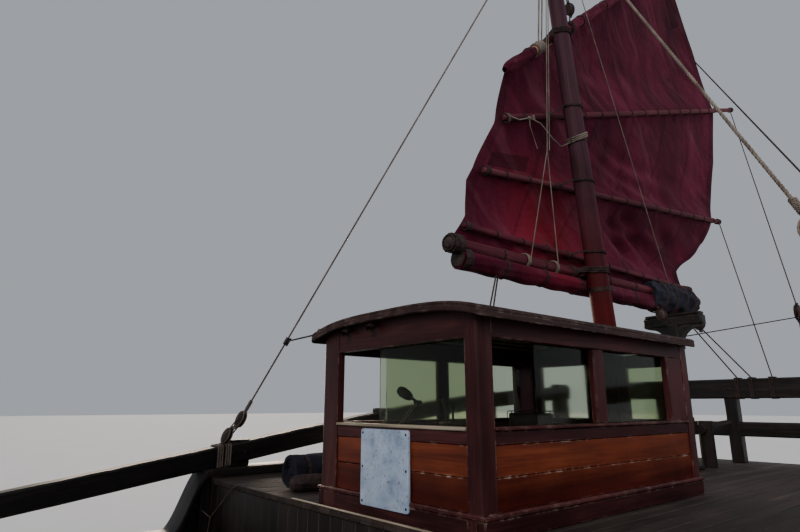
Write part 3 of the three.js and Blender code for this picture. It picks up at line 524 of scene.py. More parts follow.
stern_heights = np.linspace(bottom(stern_x) + 0.02, quarter_deck_top, stern_boards + 1)
for low, high in zip(stern_heights, stern_heights[1:]):
    end_board(stern_x, low, high, -transom_thickness)
bow_heights = np.linspace(bottom(bow_x) + 0.02, sheer(bow_x), bow_boards + 1)
for low, high in zip(bow_heights, bow_heights[1:]):
    end_board(bow_x, low, high, 0.012)
stern_planks = end_boards.finished("stern_and_bow_boards", "ship", "hull_timber", hull_finish)
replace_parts(stern_planks, "transom")

# Keel and rudder: oak baulks bolted under the hull, the rudder hung on its stock with the tiller let
# into its head. Diamond holes through its blade let it turn easily.
keel_finish = wood_finish("keel_oak", (0.05, 0.014, 0.01), (0.1, 0.028, 0.02), (0.15, 0.05, 0.035),
                          rough=(0.5, 0.85), whole=True)
above_water = keel_finish.ramp(keel_finish.node("SeparateXYZ", keel_finish.place).outputs["Z"], (0.1, 0.0),
                               (0.12, 1.0))
keel_colour = keel_finish.shader.inputs["Base Color"].links[0].from_socket
tarred = keel_finish.mixed(1.0, keel_colour, (0.2, 0.42, 0.5), "MULTIPLY")
keel_finish.colour(keel_finish.mixed(above_water, keel_colour, tarred))


def refinish(finish, *nodes):
    """Gives the plain mesh of each node this finish."""
    for node in nodes:
        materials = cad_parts[node].data.materials
        materials.clear()
        materials.append(finish.material)


refinish(keel_finish, "keel", "rudder")

# Propeller: four broad blades on one boss, cast in bronze as a single piece and keyed to its shaft;
# dulled brown and green by salt.
bronze_finish = Finish("dull_bronze", Metallic=1.0)
tarnish = bronze_finish.noise(bronze_finish.place, 14, detail=6, rough=0.65)
bronze_finish.colour(bronze_finish.ramp(tarnish, (0.4, (0.42, 0.27, 0.12)), (0.65, (0.12, 0.16, 0.11))))
bronze_finish.roughness(tarnish, 0.3, 0.7)
bronze_finish.relief((tarnish, 0.3, 0.002))
refinish(bronze_finish, "propeller")

# Decks: narrow softwood planks laid fore and aft with pitched seams, butted at random, and a covering
# board along each side that laps their ends.
deck_finish = wood_finish("deck_planks", (0.016, 0.011, 0.01), (0.04, 0.028, 0.023), (0.085, 0.062, 0.05),
                          rough=(0.55, 0.85), edge_wear=((0.12, 0.095, 0.075), 0.6))
plank_width, longest_plank, plank_cuts = 0.135, 4.2, (2.2, 3.8)
widest_half_deck = 3.3
seam = 0.004
covering_width = 0.2
covering_lift = 0.012


def inner_half_width(z):
    """The space between the bulwarks at height z, as a function of x there."""
    spots = [hull_point(x, turn_at_height(x, min(z, sheer(x))), bulwark_thickness)
             for x in np.linspace(stern_x, bow_x, 120)]
    xs, ys = [raked(x, z) for x in np.linspace(stern_x, bow_x, 120)], [spot.y for spot in spots]
    return lambda x: float(np.interp(x, xs, ys))


def lay_deck(name, node, x_span, top, seed, hole=None):
    work = Joinery(seed)
    width = inner_half_width(top)
    spots = np.linspace(x_span[0], x_span[1], 240)
    rows = int(widest_half_deck / plank_width) + 1
    for row in range(-rows, rows):
        y0, y1 = row * plank_width + seam / 2, (row + 1) * plank_width - seam / 2
        reach = max(abs(y0), abs(y1)) + covering_width * 0.3
        inside = [x for x in spots if width(x) > reach]
        if len(inside) < 4:
            continue
        runs = [(inside[0], inside[-1])]
        if hole and max(abs(y0), abs(y1)) < hole[1] + plank_width * 0.9:
            runs = [(inside[0], hole[0][0]), (hole[0][1], inside[-1])]
        for start, end in runs:
            cuts = [start]
            while end - cuts[-1] > longest_plank:
                cuts.append(cuts[-1] + work.dice.uniform(*plank_cuts))
            for low, high in zip(cuts, [*cuts[1:], end]):
                work.board((low + seam / 2, y0, top - deck_thickness), (high - seam / 2, y1, top), 0.005)
    for _, side in sides:
        rings = []
        for x in np.linspace(x_span[0], x_span[1], 40):
            outer = width(x) + 0.01
            inner = max(outer - covering_width, 0.02)
            section = ((inner, -0.03), (inner, covering_lift * 0.5), (inner + 0.008, covering_lift),
                       (outer, covering_lift), (outer, -0.03))
            rings.append([Vector((x, side * y, top + z)) for y, z in section])
        work.sweep(rings)
    deck = work.finished(name, "ship", "deck_planks", deck_finish)
    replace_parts(deck, node)


deck_nosing = 0.04
stern_inside_x = raked(stern_x, quarter_deck_top) + 0.01
lay_deck("waist_planks", "waist_deck", (break_x, fore_break_x), waist_deck_top, 11)
lay_deck("quarter_planks", "quarter_deck", (stern_inside_x, break_x + deck_nosing), quarter_deck_top, 12,
         hole=(well_x, well_half_width))
lay_deck("fore_planks", "fore_deck", (fore_break_x - deck_nosing, raked(bow_x, fore_deck_top) - 0.05),
         fore_deck_top, 13)

# Break bulkheads: upright softwood boards that close the steps up to the two raised decks, nailed to
# the deck beams and tarred like the hull.
bulkheads = Joinery(14)
bulkhead_board, bulkhead_thickness = 0.165, 0.026
for wall_x, facing, top in ((break_x, 1, quarter_deck_top), (fore_break_x, -1, fore_deck_top)):
    width = inner_half_width(waist_deck_top + 0.3)(wall_x)
    for y in np.arange(-width, width, bulkhead_board):
        low, high = sorted((wall_x, wall_x + facing * bulkhead_thickness))
        bulkheads.board((low, y + 0.002, waist_deck_top), (high, min(y + 0.163, width), top - 0.052))
bulkheads.finished("break_bulkheads", "ship", "hull_timber", hull_finish)

# Bulwark caps: a wide plank on top of each bulwark, scarfed from shorter lengths, its edges rounded
# by hands and ropes. Frame heads stand inside the bulwark under it.
rail_finish = wood_finish("oiled_rail_timber", (0.007, 0.006, 0.006), (0.017, 0.013, 0.012),
                          (0.04, 0.031, 0.027), rough=(0.35, 0.65), edge_wear=((0.14, 0.1, 0.075), 0.8))
cap_width, cap_overhang, cap_thickness, cap_lap = 0.34, 0.04, 0.06, 0.02
cap_joints = (-9.75, -6.9, -3.56, -3.16, -0.6, 2.7, 5.9, 9.15)
rounded = 0.014
frame_pitch, frame_half = 0.72, 0.055


def to_side(side, one, other):
    """Two distances from the middle line as a low and a high y, on this side of it."""
    return sorted((side * one, side * other))


for name, side in sides:
    caps = Joinery(20 + side)
    for start, end in zip(cap_joints, cap_joints[1:]):
        rings = []
        for x in np.linspace(start + 0.002, end - 0.002, 22):
            outer = half_beam(x) + cap_overhang
            inner = max(outer - cap_width, 0.002)
            low, high = sheer(x) - cap_lap, sheer(x) + cap_thickness
            section = ((inner, low), (outer, low), (outer, high - rounded),
                       (outer - rounded * 0.3, high - rounded * 0.3), (outer - rounded, high),
                       (inner + rounded, high), (inner + rounded * 0.3, high - rounded * 0.3),
                       (inner, high - rounded))
            rings.append([Vector((raked(x, sheer(x)), side * y, z)) for y, z in section])
        caps.sweep(rings)
    for x in np.arange(-9.3, 8.6, frame_pitch):
        deck_top = fore_deck_top if x > fore_break_x else waist_deck_top if x > break_x else quarter_deck_top
        high = sheer(x) - cap_lap
        if high - deck_top < 0.1:
            continue
        inner = hull_point(x, turn_at_height(x, deck_top + 0.05), bulwark_thickness).y
        y0, y1 = to_side(side, inner - 0.07, inner + 0.03)
        middle = raked(x, (deck_top + high) / 2)
        caps.board((middle - frame_half, y0, deck_top), (middle + frame_half, y1, high), 0.006)
    caps.finished(f"bulwark_cap_{name}", "ship", "rail_timber", rail_finish)

# Quarter rails: one heavy squared timber above each bulwark, carried on broad stanchions whose heads
# stand through it, all oiled nearly black.
rail_line = ((0.4, 1.402), (-1.0, 1.56), (-1.71, 1.66), (-3.3, 1.905), (-5.05, 2.19), (-7.0, 2.5),
             (-8.6, 2.665), (-9.56, 2.74))
rail_width, rail_height = 0.2, 0.22
rail_inset = 0.08
rail_z = faired([x for x, _ in reversed(rail_line)], [z for _, z in reversed(rail_line)])
stanchion_xs = (-1.5, -3.9, -6.0, -7.9, -9.45)
stanchion_width, stanchion_thickness = 0.3, 0.15
head_proud = 0.03


def rail_y(x):
    """How far out the rail stands at x, allowing for the stern's lean."""
    share = -stern_rake * rail_z(x) / (-stern_x - rake_starts)
    station = (x - rake_starts * share) / (1 + share) if x < -rake_starts else x
    return half_beam(station) - rail_inset


def squared(y, z, width, height, ease, side):
    """A squared section with eased corners, as y and z pairs."""
    w, h = width / 2, height / 2
    corners = ((-w + ease, -h), (w - ease, -h), (w, -h + ease), (w, h - ease), (w - ease, h), (-w + ease, h),
               (-w, h - ease), (-w, -h + ease))
    return [(side * (y + a), z + b) for a, b in corners]


for name, side in sides:
    rails = Joinery(30 + side)
    dice = random.Random(7 + side)
    rings = []
    for x in np.linspace(rail_line[0][0], rail_line[-1][0], 64):
        swell = dice.uniform(-0.0025, 0.0025)
        rings.append([Vector((x, y, z)) for y, z in squared(
            rail_y(x), rail_z(x) + swell, rail_width, rail_height + swell, 0.018, side)])
    rails.sweep(rings)
    for x in stanchion_xs:
        y = side * rail_y(x)
        half = stanchion_width / 2
        top = rail_z(x) + rail_height / 2 + head_proud
        foot = min(sheer(x - half), sheer(x + half)) + cap_thickness
        if x < -rake_starts:
            foot = sheer((x - rake_starts * 0.13) / 1.13) + cap_thickness
        rails.board((x - half, y - stanchion_thickness / 2, foot + 0.001),
                    (x + half, y + stanchion_thickness / 2, top), 0.012)
        for bolt_x in (-0.08, 0.08):
            dome(rails, (x + bolt_x, y - side * rail_width / 2, rail_z(x)), (0, -side, 0), 0.018, 0.008)
    quarter_rail = rails.finished(f"rail_timber_{name}", "ship", "rail_timber", rail_finish)
    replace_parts(quarter_rail, f"quarter_rail_{name}")

# Stern rail: squared oak posts with two bars across the quarterdeck's after end, bolted where they
# cross and oiled nearly black.
stern_rail_x, stern_rail_half = -9.9, 2.13
stern_bar_top = 2.89
stern_bars = ((2.62, stern_bar_top, 0.09), (2.108, 2.302, 0.06))
stern_post_ys = (-2.0, -1.0, 0.0, 1.0, 2.0)
stern_rail = Joinery(40)
for y in stern_post_ys:
    stern_rail.board((stern_rail_x - 0.075, y - 0.08, quarter_deck_top),
                     (stern_rail_x + 0.075, y + 0.08, 2.64), 0.01)
for low, high, half in stern_bars:
    stern_rail.board((stern_rail_x - half, -stern_rail_half, low),
                     (stern_rail_x + half, stern_rail_half, high), 0.016)
    for y in stern_post_ys:
        dome(stern_rail, (stern_rail_x + half, y, (low + high) / 2), (1, 0, 0), 0.018, 0.008)
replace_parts(stern_rail.finished("stern_rail_timbers", "ship", "rail_timber", rail_finish), "stern_rail")

# Wheelhouse frame: dark red mahogany, gloss varnished and rubbed pale on its edges. Corner posts with a
# round outer arris, sill and head rails between them, and a plinth that sits on the deck.
mahogany_finish = wood_finish("varnished_mahogany", (0.022, 0.006, 0.007), (0.055, 0.014, 0.015),
                              (0.12, 0.036, 0.032), rough=(0.32, 0.6), edge_wear=((0.42, 0.3, 0.24), 0.75),
                              grain_depth=0.0006, shine=0.12, Coat_Weight=0.05, Coat_Roughness=0.3)
house_front, house_aft, house_half = -3.6, -6.53, 0.882
wall = 0.06
plinth_top, sill_low, sill, window_head = 1.905, 2.29, 2.397, 2.95
board_seam = 2.1
roof_edge_top, roof_camber, camber_power, roof_thickness = 3.118, 0.1, 3.4, 0.045
roof_overhang, roof_half = 0.078, house_half + 0.118
post_leg, front_leg, aft_leg = 0.117, 0.13, 0.14
sill_depth, plinth_cap = 0.022, 0.03
front_window_y, aft_window_y = (-0.65, 0.765), (-0.76, -0.19)
side_windows = ((-4.907, -3.73), (-6.1, -5.049))
door_y, door_z = (0.17, 0.8), (1.8, 3.03)


def roof_top(y):
    return roof_edge_top + roof_camber * (1 - abs(y / roof_half) ** camber_power)


def wall_top(y):
    return roof_top(y) - roof_thickness - 0.001


house_frame = Joinery(50)


def corner_post(x, y, leg_x, leg_y):
    """An L-shaped post in the corner x, y; its legs run inward along x and y."""
    dx, dy = (-1 if x > -5 else 1), (-1 if y > 0 else 1)
    arris = 0.045
    arc = [(arris - arris * math.sin(a), arris - arris * math.cos(a)) for a in np.linspace(0, math.pi / 2, 7)]
    plan = [(leg_x, 0), *arc, (0, leg_y), (wall, leg_y), (wall, wall), (leg_x, wall)]
    rings = [[(x + dx * a, y + dy * b, z if z < 3 else wall_top(y + dy * b)) for a, b in plan]
             for z in (quarter_deck_top, sill, 3.1)]
    house_frame.sweep(rings)


corner_post(house_front, house_half, front_leg, post_leg)
corner_post(house_front, -house_half, front_leg, house_half + front_window_y[0])
corner_post(house_aft, house_half, aft_leg, house_half - door_y[1])
corner_post(house_aft, -house_half, aft_leg, house_half + aft_window_y[0])
sill_proud, plinth_proud = 0.014, 0.012
bay_x = (house_aft + aft_leg, house_front - front_leg)
for _, side in sides:
    y0, y1 = to_side(side, house_half - wall, house_half - 0.004)
    house_frame.board((bay_x[0], y0, sill_low), (bay_x[1], y1, sill - sill_depth), 0.006)
    house_frame.board((bay_x[0], y0, window_head), (bay_x[1], y1, wall_top(house_half)), 0.006)
    house_frame.board((side_windows[1][1], y0, sill), (side_windows[0][0], y1, window_head), 0.008, tone=1.0)
    house_frame.board((bay_x[0], y0, sill), (side_windows[1][0], y1, window_head), 0.006)
    y0, y1 = to_side(side, house_half - wall, house_half + sill_proud)
    house_frame.board((bay_x[0] + 0.003, y0, sill - sill_depth), (bay_x[1] - 0.003, y1, sill), 0.006,
                      tone=0.8)
    y0, y1 = to_side(side, house_half - wall, house_half + plinth_proud)
    house_frame.board((house_aft, y0, quarter_deck_top), (house_front, y1, plinth_top - plinth_cap), 0.008,
                      tone=0.0)
    y0, y1 = to_side(side, house_half - 0.03, house_half + plinth_proud + 0.008)
    house_frame.board((house_aft - 0.004, y0, plinth_top - plinth_cap), (house_front + 0.004, y1, plinth_top),
                      0.009, tone=0.9)

# The two end frames: rails that follow the roof's curve, and the posts round the door
window_span = (front_window_y[0] + 0.001, front_window_y[1] - 0.001)
for x0, x1, spans in ((house_front - wall, house_front - 0.004, ((*window_span, window_head),)),
                      (house_aft + 0.004, house_aft + wall,
                       ((-0.759, 0.169, window_head), (0.171, 0.799, door_z[1])))):
    for y_low, y_high, z_low in spans:
        rings = [[(x0, y, z_low), (x1, y, z_low), (x1, y, wall_top(y)), (x0, y, wall_top(y))]
                 for y in np.linspace(y_low, y_high, 25)]
        house_frame.sweep(rings)
front_x = (house_front - wall, house_front - 0.004)
house_frame.board((front_x[0], window_span[0], sill_low), (front_x[1], window_span[1], sill - sill_depth),
                  0.006)
house_frame.board((front_x[0], window_span[0], quarter_deck_top),
                  (front_x[1] + 0.012, window_span[1], plinth_top - plinth_cap), 0.008, tone=0.0)
house_frame.board((house_front - 0.03, -house_half - 0.016, plinth_top - plinth_cap),
                  (house_front + 0.011, house_half + 0.016, plinth_top), 0.007, tone=0.75)
aft_x = (house_aft + 0.004, house_aft + wall)
house_frame.board((aft_x[0], aft_window_y[0] + 0.001, sill_low), (aft_x[1], aft_window_y[1], sill), 0.006)
house_frame.board((aft_x[0], aft_window_y[1] + 0.001, quarter_deck_top),
                  (aft_x[1], door_y[0] - 0.001, window_head - 0.001))
house_frame.board((aft_x[0] - 0.01, aft_window_y[0], quarter_deck_top),
                  (aft_x[1], aft_window_y[1] - 0.001, plinth_top))
house_frame.board((aft_x[0] - 0.02, door_y[0] + 0.001, quarter_deck_top),
                  (aft_x[1], door_y[1] - 0.001, door_z[0]), 0.006)
house_woodwork = house_frame.finished("wheelhouse_frame", "ship", "mahogany_trim", mahogany_finish)
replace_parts(house_woodwork, "wheelhouse_port", "wheelhouse_starboard")

# Sill and deck edge strips: pale hardwood nailed along the front sill and along the deck's edge
# below it. The deck edge strip's pale colour is a painted highlight, standing for light caught along the
# quarterdeck's edge.
pale_wood_and_highlight_finish = wood_finish("pale_hardwood_and_painted_highlight", (0.2, 0.15, 0.1), (0.36, 0.3, 0.22), (0.52, 0.46, 0.36),
                          rough=(0.5, 0.8))
sill_and_edge_highlight_strip = Joinery(51)
sill_and_edge_highlight_strip.board((house_front - wall - 0.01, window_span[0] + 0.002, sill - sill_depth),
                 (house_front + sill_proud, window_span[1] - 0.002, sill), 0.005)
# The deck edge strip: its pale colour is a painted highlight along the quarterdeck's edge.
sill_and_edge_highlight_strip.board((break_x + deck_nosing - 0.012, -1.25, quarter_deck_top + 0.001),
                 (break_x + deck_nosing + 0.006, 1.25, quarter_deck_top + 0.014), 0.004)
sill_and_edge_highlight_strip.finished("front_sill_and_deck_edge_highlight", "ship", "varnished_panel", pale_wood_and_highlight_finish)

# Wheelhouse boards: two wide horizontal boards in each bay, bright orange-brown under old varnish and
# redder low down, where it has darkened; chipped pale along the seam and the post.
varnish_finish = wood_finish("varnished_boards", (0.062, 0.01, 0.005), (0.14, 0.026, 0.009),
                             (0.25, 0.058, 0.018), rough=(0.3, 0.6), edge_wear=((0.62, 0.5, 0.4), 1.0),
                             grain_depth=0.0007, streak=2.2, shine=0.15, Coat_Weight=0.08,
                             Coat_Roughness=0.25)
varnish_colour = varnish_finish.shader.inputs["Base Color"].links[0].from_socket
board_height = varnish_finish.node("SeparateXYZ", varnish_finish.place).outputs["Z"]
darkened = varnish_finish.maths("MULTIPLY_ADD", varnish_finish.noise(varnish_finish.place, 2.4, detail=5),
                                0.3)
varnish_finish.feed(darkened.node.inputs[2], board_height)
maroon = varnish_finish.ramp(varnish_finish.maths("SUBTRACT", darkened, 1.5), (0.62, (0.5, 0.27, 0.34)),
                             (0.8, (1.0, 1.0, 1.0)))
varnish_finish.colour(varnish_finish.mixed(1.0, varnish_colour, maroon, "MULTIPLY"))
skin, lining = (0.012, 0.034), (wall - 0.012, wall)
house_boards = Joinery(52)
# Each board: its low and high edge, and its tone
for z0, z1, tone in ((plinth_top, board_seam - 0.0015, 0.3), (board_seam + 0.0015, sill_low, 0.75)):
    for _, side in sides:
        for depth in (skin, lining):
            y0, y1 = to_side(side, house_half - depth[0], house_half - depth[1])
            house_boards.board((bay_x[0] + 0.001, y0, z0), (bay_x[1] - 0.001, y1, z1), 0.004, tone=tone)
    for x, inward in ((house_front, -1), (house_aft, 1)):
        y_low, y_high = (-0.649, 0.764) if inward < 0 else (aft_window_y[0] + 0.002, aft_window_y[1] - 0.002)
        for depth in (skin, lining):
            x0, x1 = sorted((x + inward * depth[0], x + inward * depth[1]))
            house_boards.board((x0, y_low, z0), (x1, y_high, z1), 0.004, tone=tone)
house_panels = house_boards.finished("wheelhouse_boards", "ship", "varnished_panel", varnish_finish)
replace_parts(house_panels, "wheelhouse_front", "wheelhouse_aft")

# Cabin floor: planks in a well below the deck, with upright lining boards round it, nailed to the
# frames and varnished like the panels.
cabin = Joinery(53)
for y in np.arange(-well_half_width, well_half_width, 0.134):
    cabin.board((well_x[0], y + 0.002, well_floor - 0.045),
                (well_x[1], min(y + 0.132, well_half_width), well_floor), 0.004)
for x in np.arange(well_x[0], well_x[1], 0.16):
    for _, side in sides:
        y0, y1 = to_side(side, well_half_width + 0.001, well_half_width + 0.02)
        cabin.board((x + 0.001, y0, well_floor - 0.05),
                    (min(x + 0.159, well_x[1]), y1, quarter_deck_top - 0.001), 0.003)
for x0, x1 in ((well_x[0] - 0.02, well_x[0] - 0.001), (well_x[1] + 0.001, well_x[1] + 0.02)):
    for y in np.arange(-well_half_width, well_half_width, 0.16):
        cabin.board((x0, y + 0.001, well_floor - 0.05),
                    (x1, min(y + 0.159, well_half_width), quarter_deck_top - 0.001), 0.003)
cabin.finished("cabin_floor", "ship", "varnished_panel", varnish_finish)

# Roof: cambered boards with rounded corners in plan, closed round the edge by a deep fascia with a
# half-round bead on top; notched aft for the mast. Pale battens carry its ceiling.
roof_finish = wood_finish("weathered_roof_varnish", (0.018, 0.009, 0.009), (0.042, 0.022, 0.02),
                          (0.09, 0.055, 0.048), rough=(0.5, 0.8), edge_wear=((0.34, 0.27, 0.23), 1.0),
                          whole=True, shine=0.12)
roof_x = (house_aft - roof_overhang, house_front + roof_overhang)
front_round, aft_round = 0.05, 0.2
mizzen_at_roof, notch = -6.671, 0.146
fascia_depth, fascia_width = 0.07, 0.032


def roof_outline(inset):
    """The roof's edge in plan, moved inward: rounded corners, and the notch round the mast."""
    x0, x1 = roof_x[0] + inset, roof_x[1] - inset
    half = roof_half - inset
    corners = []
    for x, y, start, radius in ((x1, half, 0, front_round), (x0, half, 90, aft_round),
                                (x0, -half, 180, aft_round), (x1, -half, 270, front_round)):
        radius = max(radius - inset, 0.004)
        cx, cy = (x - radius if x == x1 else x + radius), y - math.copysign(radius, y)
        arc = [math.radians(start + turn) for turn in np.linspace(0, 90, 8)]
        corners.append([(cx + radius * math.cos(a), cy + radius * math.sin(a)) for a in arc])
    points = []
    for corner, after in zip(corners, corners[1:] + corners[:1]):
        (ax, ay), (bx, by) = corner[-1], after[0]
        points += corner
        points += [(ax + (bx - ax) * s, ay + (by - ay) * s) for s in np.linspace(0, 1, 26)[1:-1]]
    reach = notch + inset
    pushed = []
    for x, y in points:
        away = math.hypot(x - mizzen_at_roof, y)
        if away < reach and x > mizzen_at_roof - 0.01:
            x = mizzen_at_roof + math.sqrt(reach * reach - y * y)
        pushed.append((x, y))
    return pushed


roof = Joinery(54)
rings = []
# Round the edge, from the middle of the top to the middle of the underside: inset, drop below the top
for inset, drop in ((0.97, 0.0), (0.6, 0.0), (0.3, 0.0), (0.12, 0.0), (0.045, 0.0), (0.034, 0.004),
                    (0.022, 0.0), (0.008, 0.003), (0.0, 0.014), (0.003, 0.028), (0.0, 0.034),
                    (0.0, fascia_depth - 0.008), (0.008, fascia_depth), (fascia_width, fascia_depth),
                    (fascia_width, roof_thickness), (0.12, roof_thickness), (0.3, roof_thickness),
                    (0.6, roof_thickness), (0.97, roof_thickness)):
    rings.append([(x, y, roof_top(y) - drop) for x, y in roof_outline(inset)])
roof.sweep(rings)
roof_shell = roof.finished("wheelhouse_roof_boards", "ship", "mahogany_trim", roof_finish, crease=30)
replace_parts(roof_shell, "wheelhouse_roof")
ceiling = Joinery(55)
for y in np.arange(-0.72, 0.73, 0.16):
    z = roof_top(y) - roof_thickness
    ceiling.board((house_aft + wall + 0.14, y - 0.017, z - 0.016),
                  (house_front - wall - 0.003, y + 0.017, z - 0.0005), 0.003)
ceiling.finished("ceiling_battens", "ship", "varnished_panel", pale_wood_and_highlight_finish)

# Door: a framed mahogany door with boards below and a glazed light above, hung on two three-knuckle
# brass hinges, with a turned knob.
door = Joinery(56)
door_x = (house_aft, house_aft + 0.04)
dy, dz = (door_y[0] + 0.006, door_y[1] - 0.006), (door_z[0] + 0.006, door_z[1] - 0.006)
door_rail, bottom_rail, lock_rail = 0.104, 0.14, 0.09
for y0, y1 in ((dy[0], dy[0] + door_rail), (dy[1] - door_rail, dy[1])):
    door.board((door_x[0], y0, dz[0]), (door_x[1], y1, dz[1]), 0.005)
for z0, z1 in ((dz[0], dz[0] + bottom_rail), (sill - lock_rail, sill), (window_head - 0.06, dz[1])):
    door.board((door_x[0] + 0.001, dy[0] + door_rail, z0), (door_x[1] - 0.001, dy[1] - door_rail, z1), 0.004)
for y in np.linspace(dy[0] + door_rail, dy[1] - door_rail, 4)[:-1]:
    door.board((door_x[0] + 0.012, y + 0.001, dz[0] + bottom_rail),
               (door_x[1] - 0.01, y + 0.135, sill - lock_rail), 0.004)
door_leaf = door.finished("cabin_door_leaf", "cabin_door", "mahogany_trim", mahogany_finish)
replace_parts(door_leaf, "wheelhouse_door")
hinge_x, hinge_radius = house_aft - 0.018, 0.014


def turned(work, start, end, rings, count=16, tone=None):
    """A turned piece between two points. Each ring: share of the way along, radius."""
    start, end = Vector(start), Vector(end)
    along = (end - start).normalized()
    side = along.orthogonal().normalized()
    other = along.cross(side)
    circle = [side * math.cos(a) + other * math.sin(a) for a in full_turn(count)]
    work.sweep([[start.lerp(end, share) + spoke * radius for spoke in circle] for share, radius in rings],
               tone=tone)


for body, pieces in (("cabin_door", ((-0.05, 0.05),)), ("ship", ((-0.1, -0.051), (0.051, 0.1)))):
    hinges = Joinery(57)
    for z in (2.05, 2.78):
        for low, high in pieces:
            pin = ((0, 0.006), (0.03, hinge_radius), (0.97, hinge_radius), (1, 0.006))
            turned(hinges, (hinge_x, door_y[1], z + low), (hinge_x, door_y[1], z + high), pin)
            y0, y1 = (door_y[1] - 0.06, door_y[1]) if body == "cabin_door" else (door_y[1], door_y[1] + 0.05)
            hinges.board((house_aft - 0.006, y0, z + low), (house_aft + 0.0005, y1, z + high), 0.001)
    if body == "cabin_door":
        turned(hinges, (house_aft + 0.001, 0.225, 2.3), (house_aft - 0.05, 0.225, 2.3),
               ((0, 0.026), (0.15, 0.026), (0.2, 0.01), (0.55, 0.012), (0.7, 0.024), (0.9, 0.022),
                (1, 0.008)))
    hinges.finished(f"door_hinges_{body}", body, "bronze", bronze_finish)

# Windows: frameless panes of greenish glass that slide in tracks behind the posts, dusty and dulled
# by salt at the edges.
glass_finish = Finish("salted_window_glass", Transmission_Weight=1.0, IOR=1.2,
                      Base_Color=(0.62, 0.69, 0.5, 1))
dust = glass_finish.noise(glass_finish.place, 2.5, detail=2, rough=0.5)
glass_finish.roughness(dust, 0.03, 0.1)
glass_finish.relief((glass_finish.noise(glass_finish.place, 1.2, detail=1), 0.15, 0.004))
refinish(glass_finish, "pane_front", "pane_port", "pane_starboard")
glazing = Joinery(58)
glazing.board((house_aft + 0.016, dy[0] + door_rail - 0.003, sill - 0.003),
              (house_aft + 0.022, dy[1] - door_rail + 0.003, window_head - 0.057), 0.001)
glazing.finished("door_light", "cabin_door", "window_glass", glass_finish)

# Sign board: a sheet of enamelled metal, left blank, pale blue-white and stained, held by six small
# screws that have rusted.
enamel_finish = Finish("stained_enamel", Coat_Weight=0.4, Coat_Roughness=0.2)
cloudy = enamel_finish.noise(enamel_finish.place, 5, detail=6, rough=0.65)
specks = enamel_finish.noise(enamel_finish.place, 45, detail=4, rough=0.7)
enamel = enamel_finish.ramp(cloudy, (0.32, (0.2, 0.27, 0.4)), (0.48, (0.36, 0.46, 0.62)),
                            (0.66, (0.5, 0.6, 0.74)))
blots = enamel_finish.noise(enamel_finish.place, 9, detail=6, rough=0.75)
rusted = enamel_finish.mixed(0.5, enamel_finish.ramp(specks, (0.58, 0.0), (0.68, 1.0)),
                             enamel_finish.ramp(blots, (0.6, 0.0), (0.7, 1.0)), "LIGHTEN")
enamel_finish.colour(enamel_finish.mixed(rusted, enamel, (0.16, 0.09, 0.07)))
enamel_finish.roughness(cloudy, 0.35, 0.6)
enamel_finish.relief((cloudy, 0.25, 0.002), (specks, 0.2, 0.0005))
sign_y, sign_z, sign_thickness = (-0.3, 0.24), (1.83, 2.362), 0.018


def rounded_corners(u_span, v_span, inward, radius, count):
    """Points round a rectangle with rounded corners, whose centres lie inward from its sides."""
    (u0, u1), (v0, v1) = u_span, v_span
    points = []
    for u, v, start in ((u1 - inward, v1 - inward, 0), (u0 + inward, v1 - inward, 90),
                        (u0 + inward, v0 + inward, 180), (u1 - inward, v0 + inward, 270)):
        for turn in np.linspace(0, 90, count):
            a = math.radians(start + turn)
            points.append((u + radius * math.cos(a), v + radius * math.sin(a)))
    return points


sign = Joinery(59)
sign_round = 0.02
rings = []
for x, inset in ((0.0005, 0.0), (sign_thickness - 0.004, 0.0), (sign_thickness - 0.001, 0.002),
                 (sign_thickness, 0.008)):
    rings.append([(house_front + x, y, z)
                  for y, z in rounded_corners(sign_y, sign_z, sign_round, sign_round - inset, 5)])
sign.sweep(rings)
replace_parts(sign.finished("blank_sign", "ship", "painted_board", enamel_finish), "sign_board")
sign_screws = Joinery(60)
for y in (sign_y[0] + 0.025, sign_y[1] - 0.025):
    for z in (sign_z[0] + 0.03, (sign_z[0] + sign_z[1]) / 2, sign_z[1] - 0.03):
        dome(sign_screws, (house_front + sign_thickness, y, z), (1, 0, 0), 0.009, 0.003)
sign_screws.finished("sign_screws", "ship", "bronze", iron_finish)

# Lamps: two small cast spotlights on brackets under the front eave, screwed to the head rail and
# painted black.
lamps = Joinery(61)
for y in (-0.49, -0.16):
    z = roof_top(y) - fascia_depth - 0.01
    lamps.board((house_front, y - 0.02, z - 0.03), (house_front + 0.012, y + 0.02, z + 0.02), 0.004)
    turned(lamps, (house_front + 0.01, y, z), (house_front + 0.03, y, z - 0.012), ((0, 0.007), (1, 0.007)), 8)
    turned(lamps, (house_front + 0.022, y, z - 0.004), (house_front + 0.066, y + 0.012, z - 0.05),
           ((0, 0.008), (0.12, 0.02), (0.6, 0.028), (0.95, 0.033), (1, 0.033), (0.98, 0.027), (0.8, 0.024)))
lamps.finished("eave_lamps", "ship", "bronze", iron_finish)

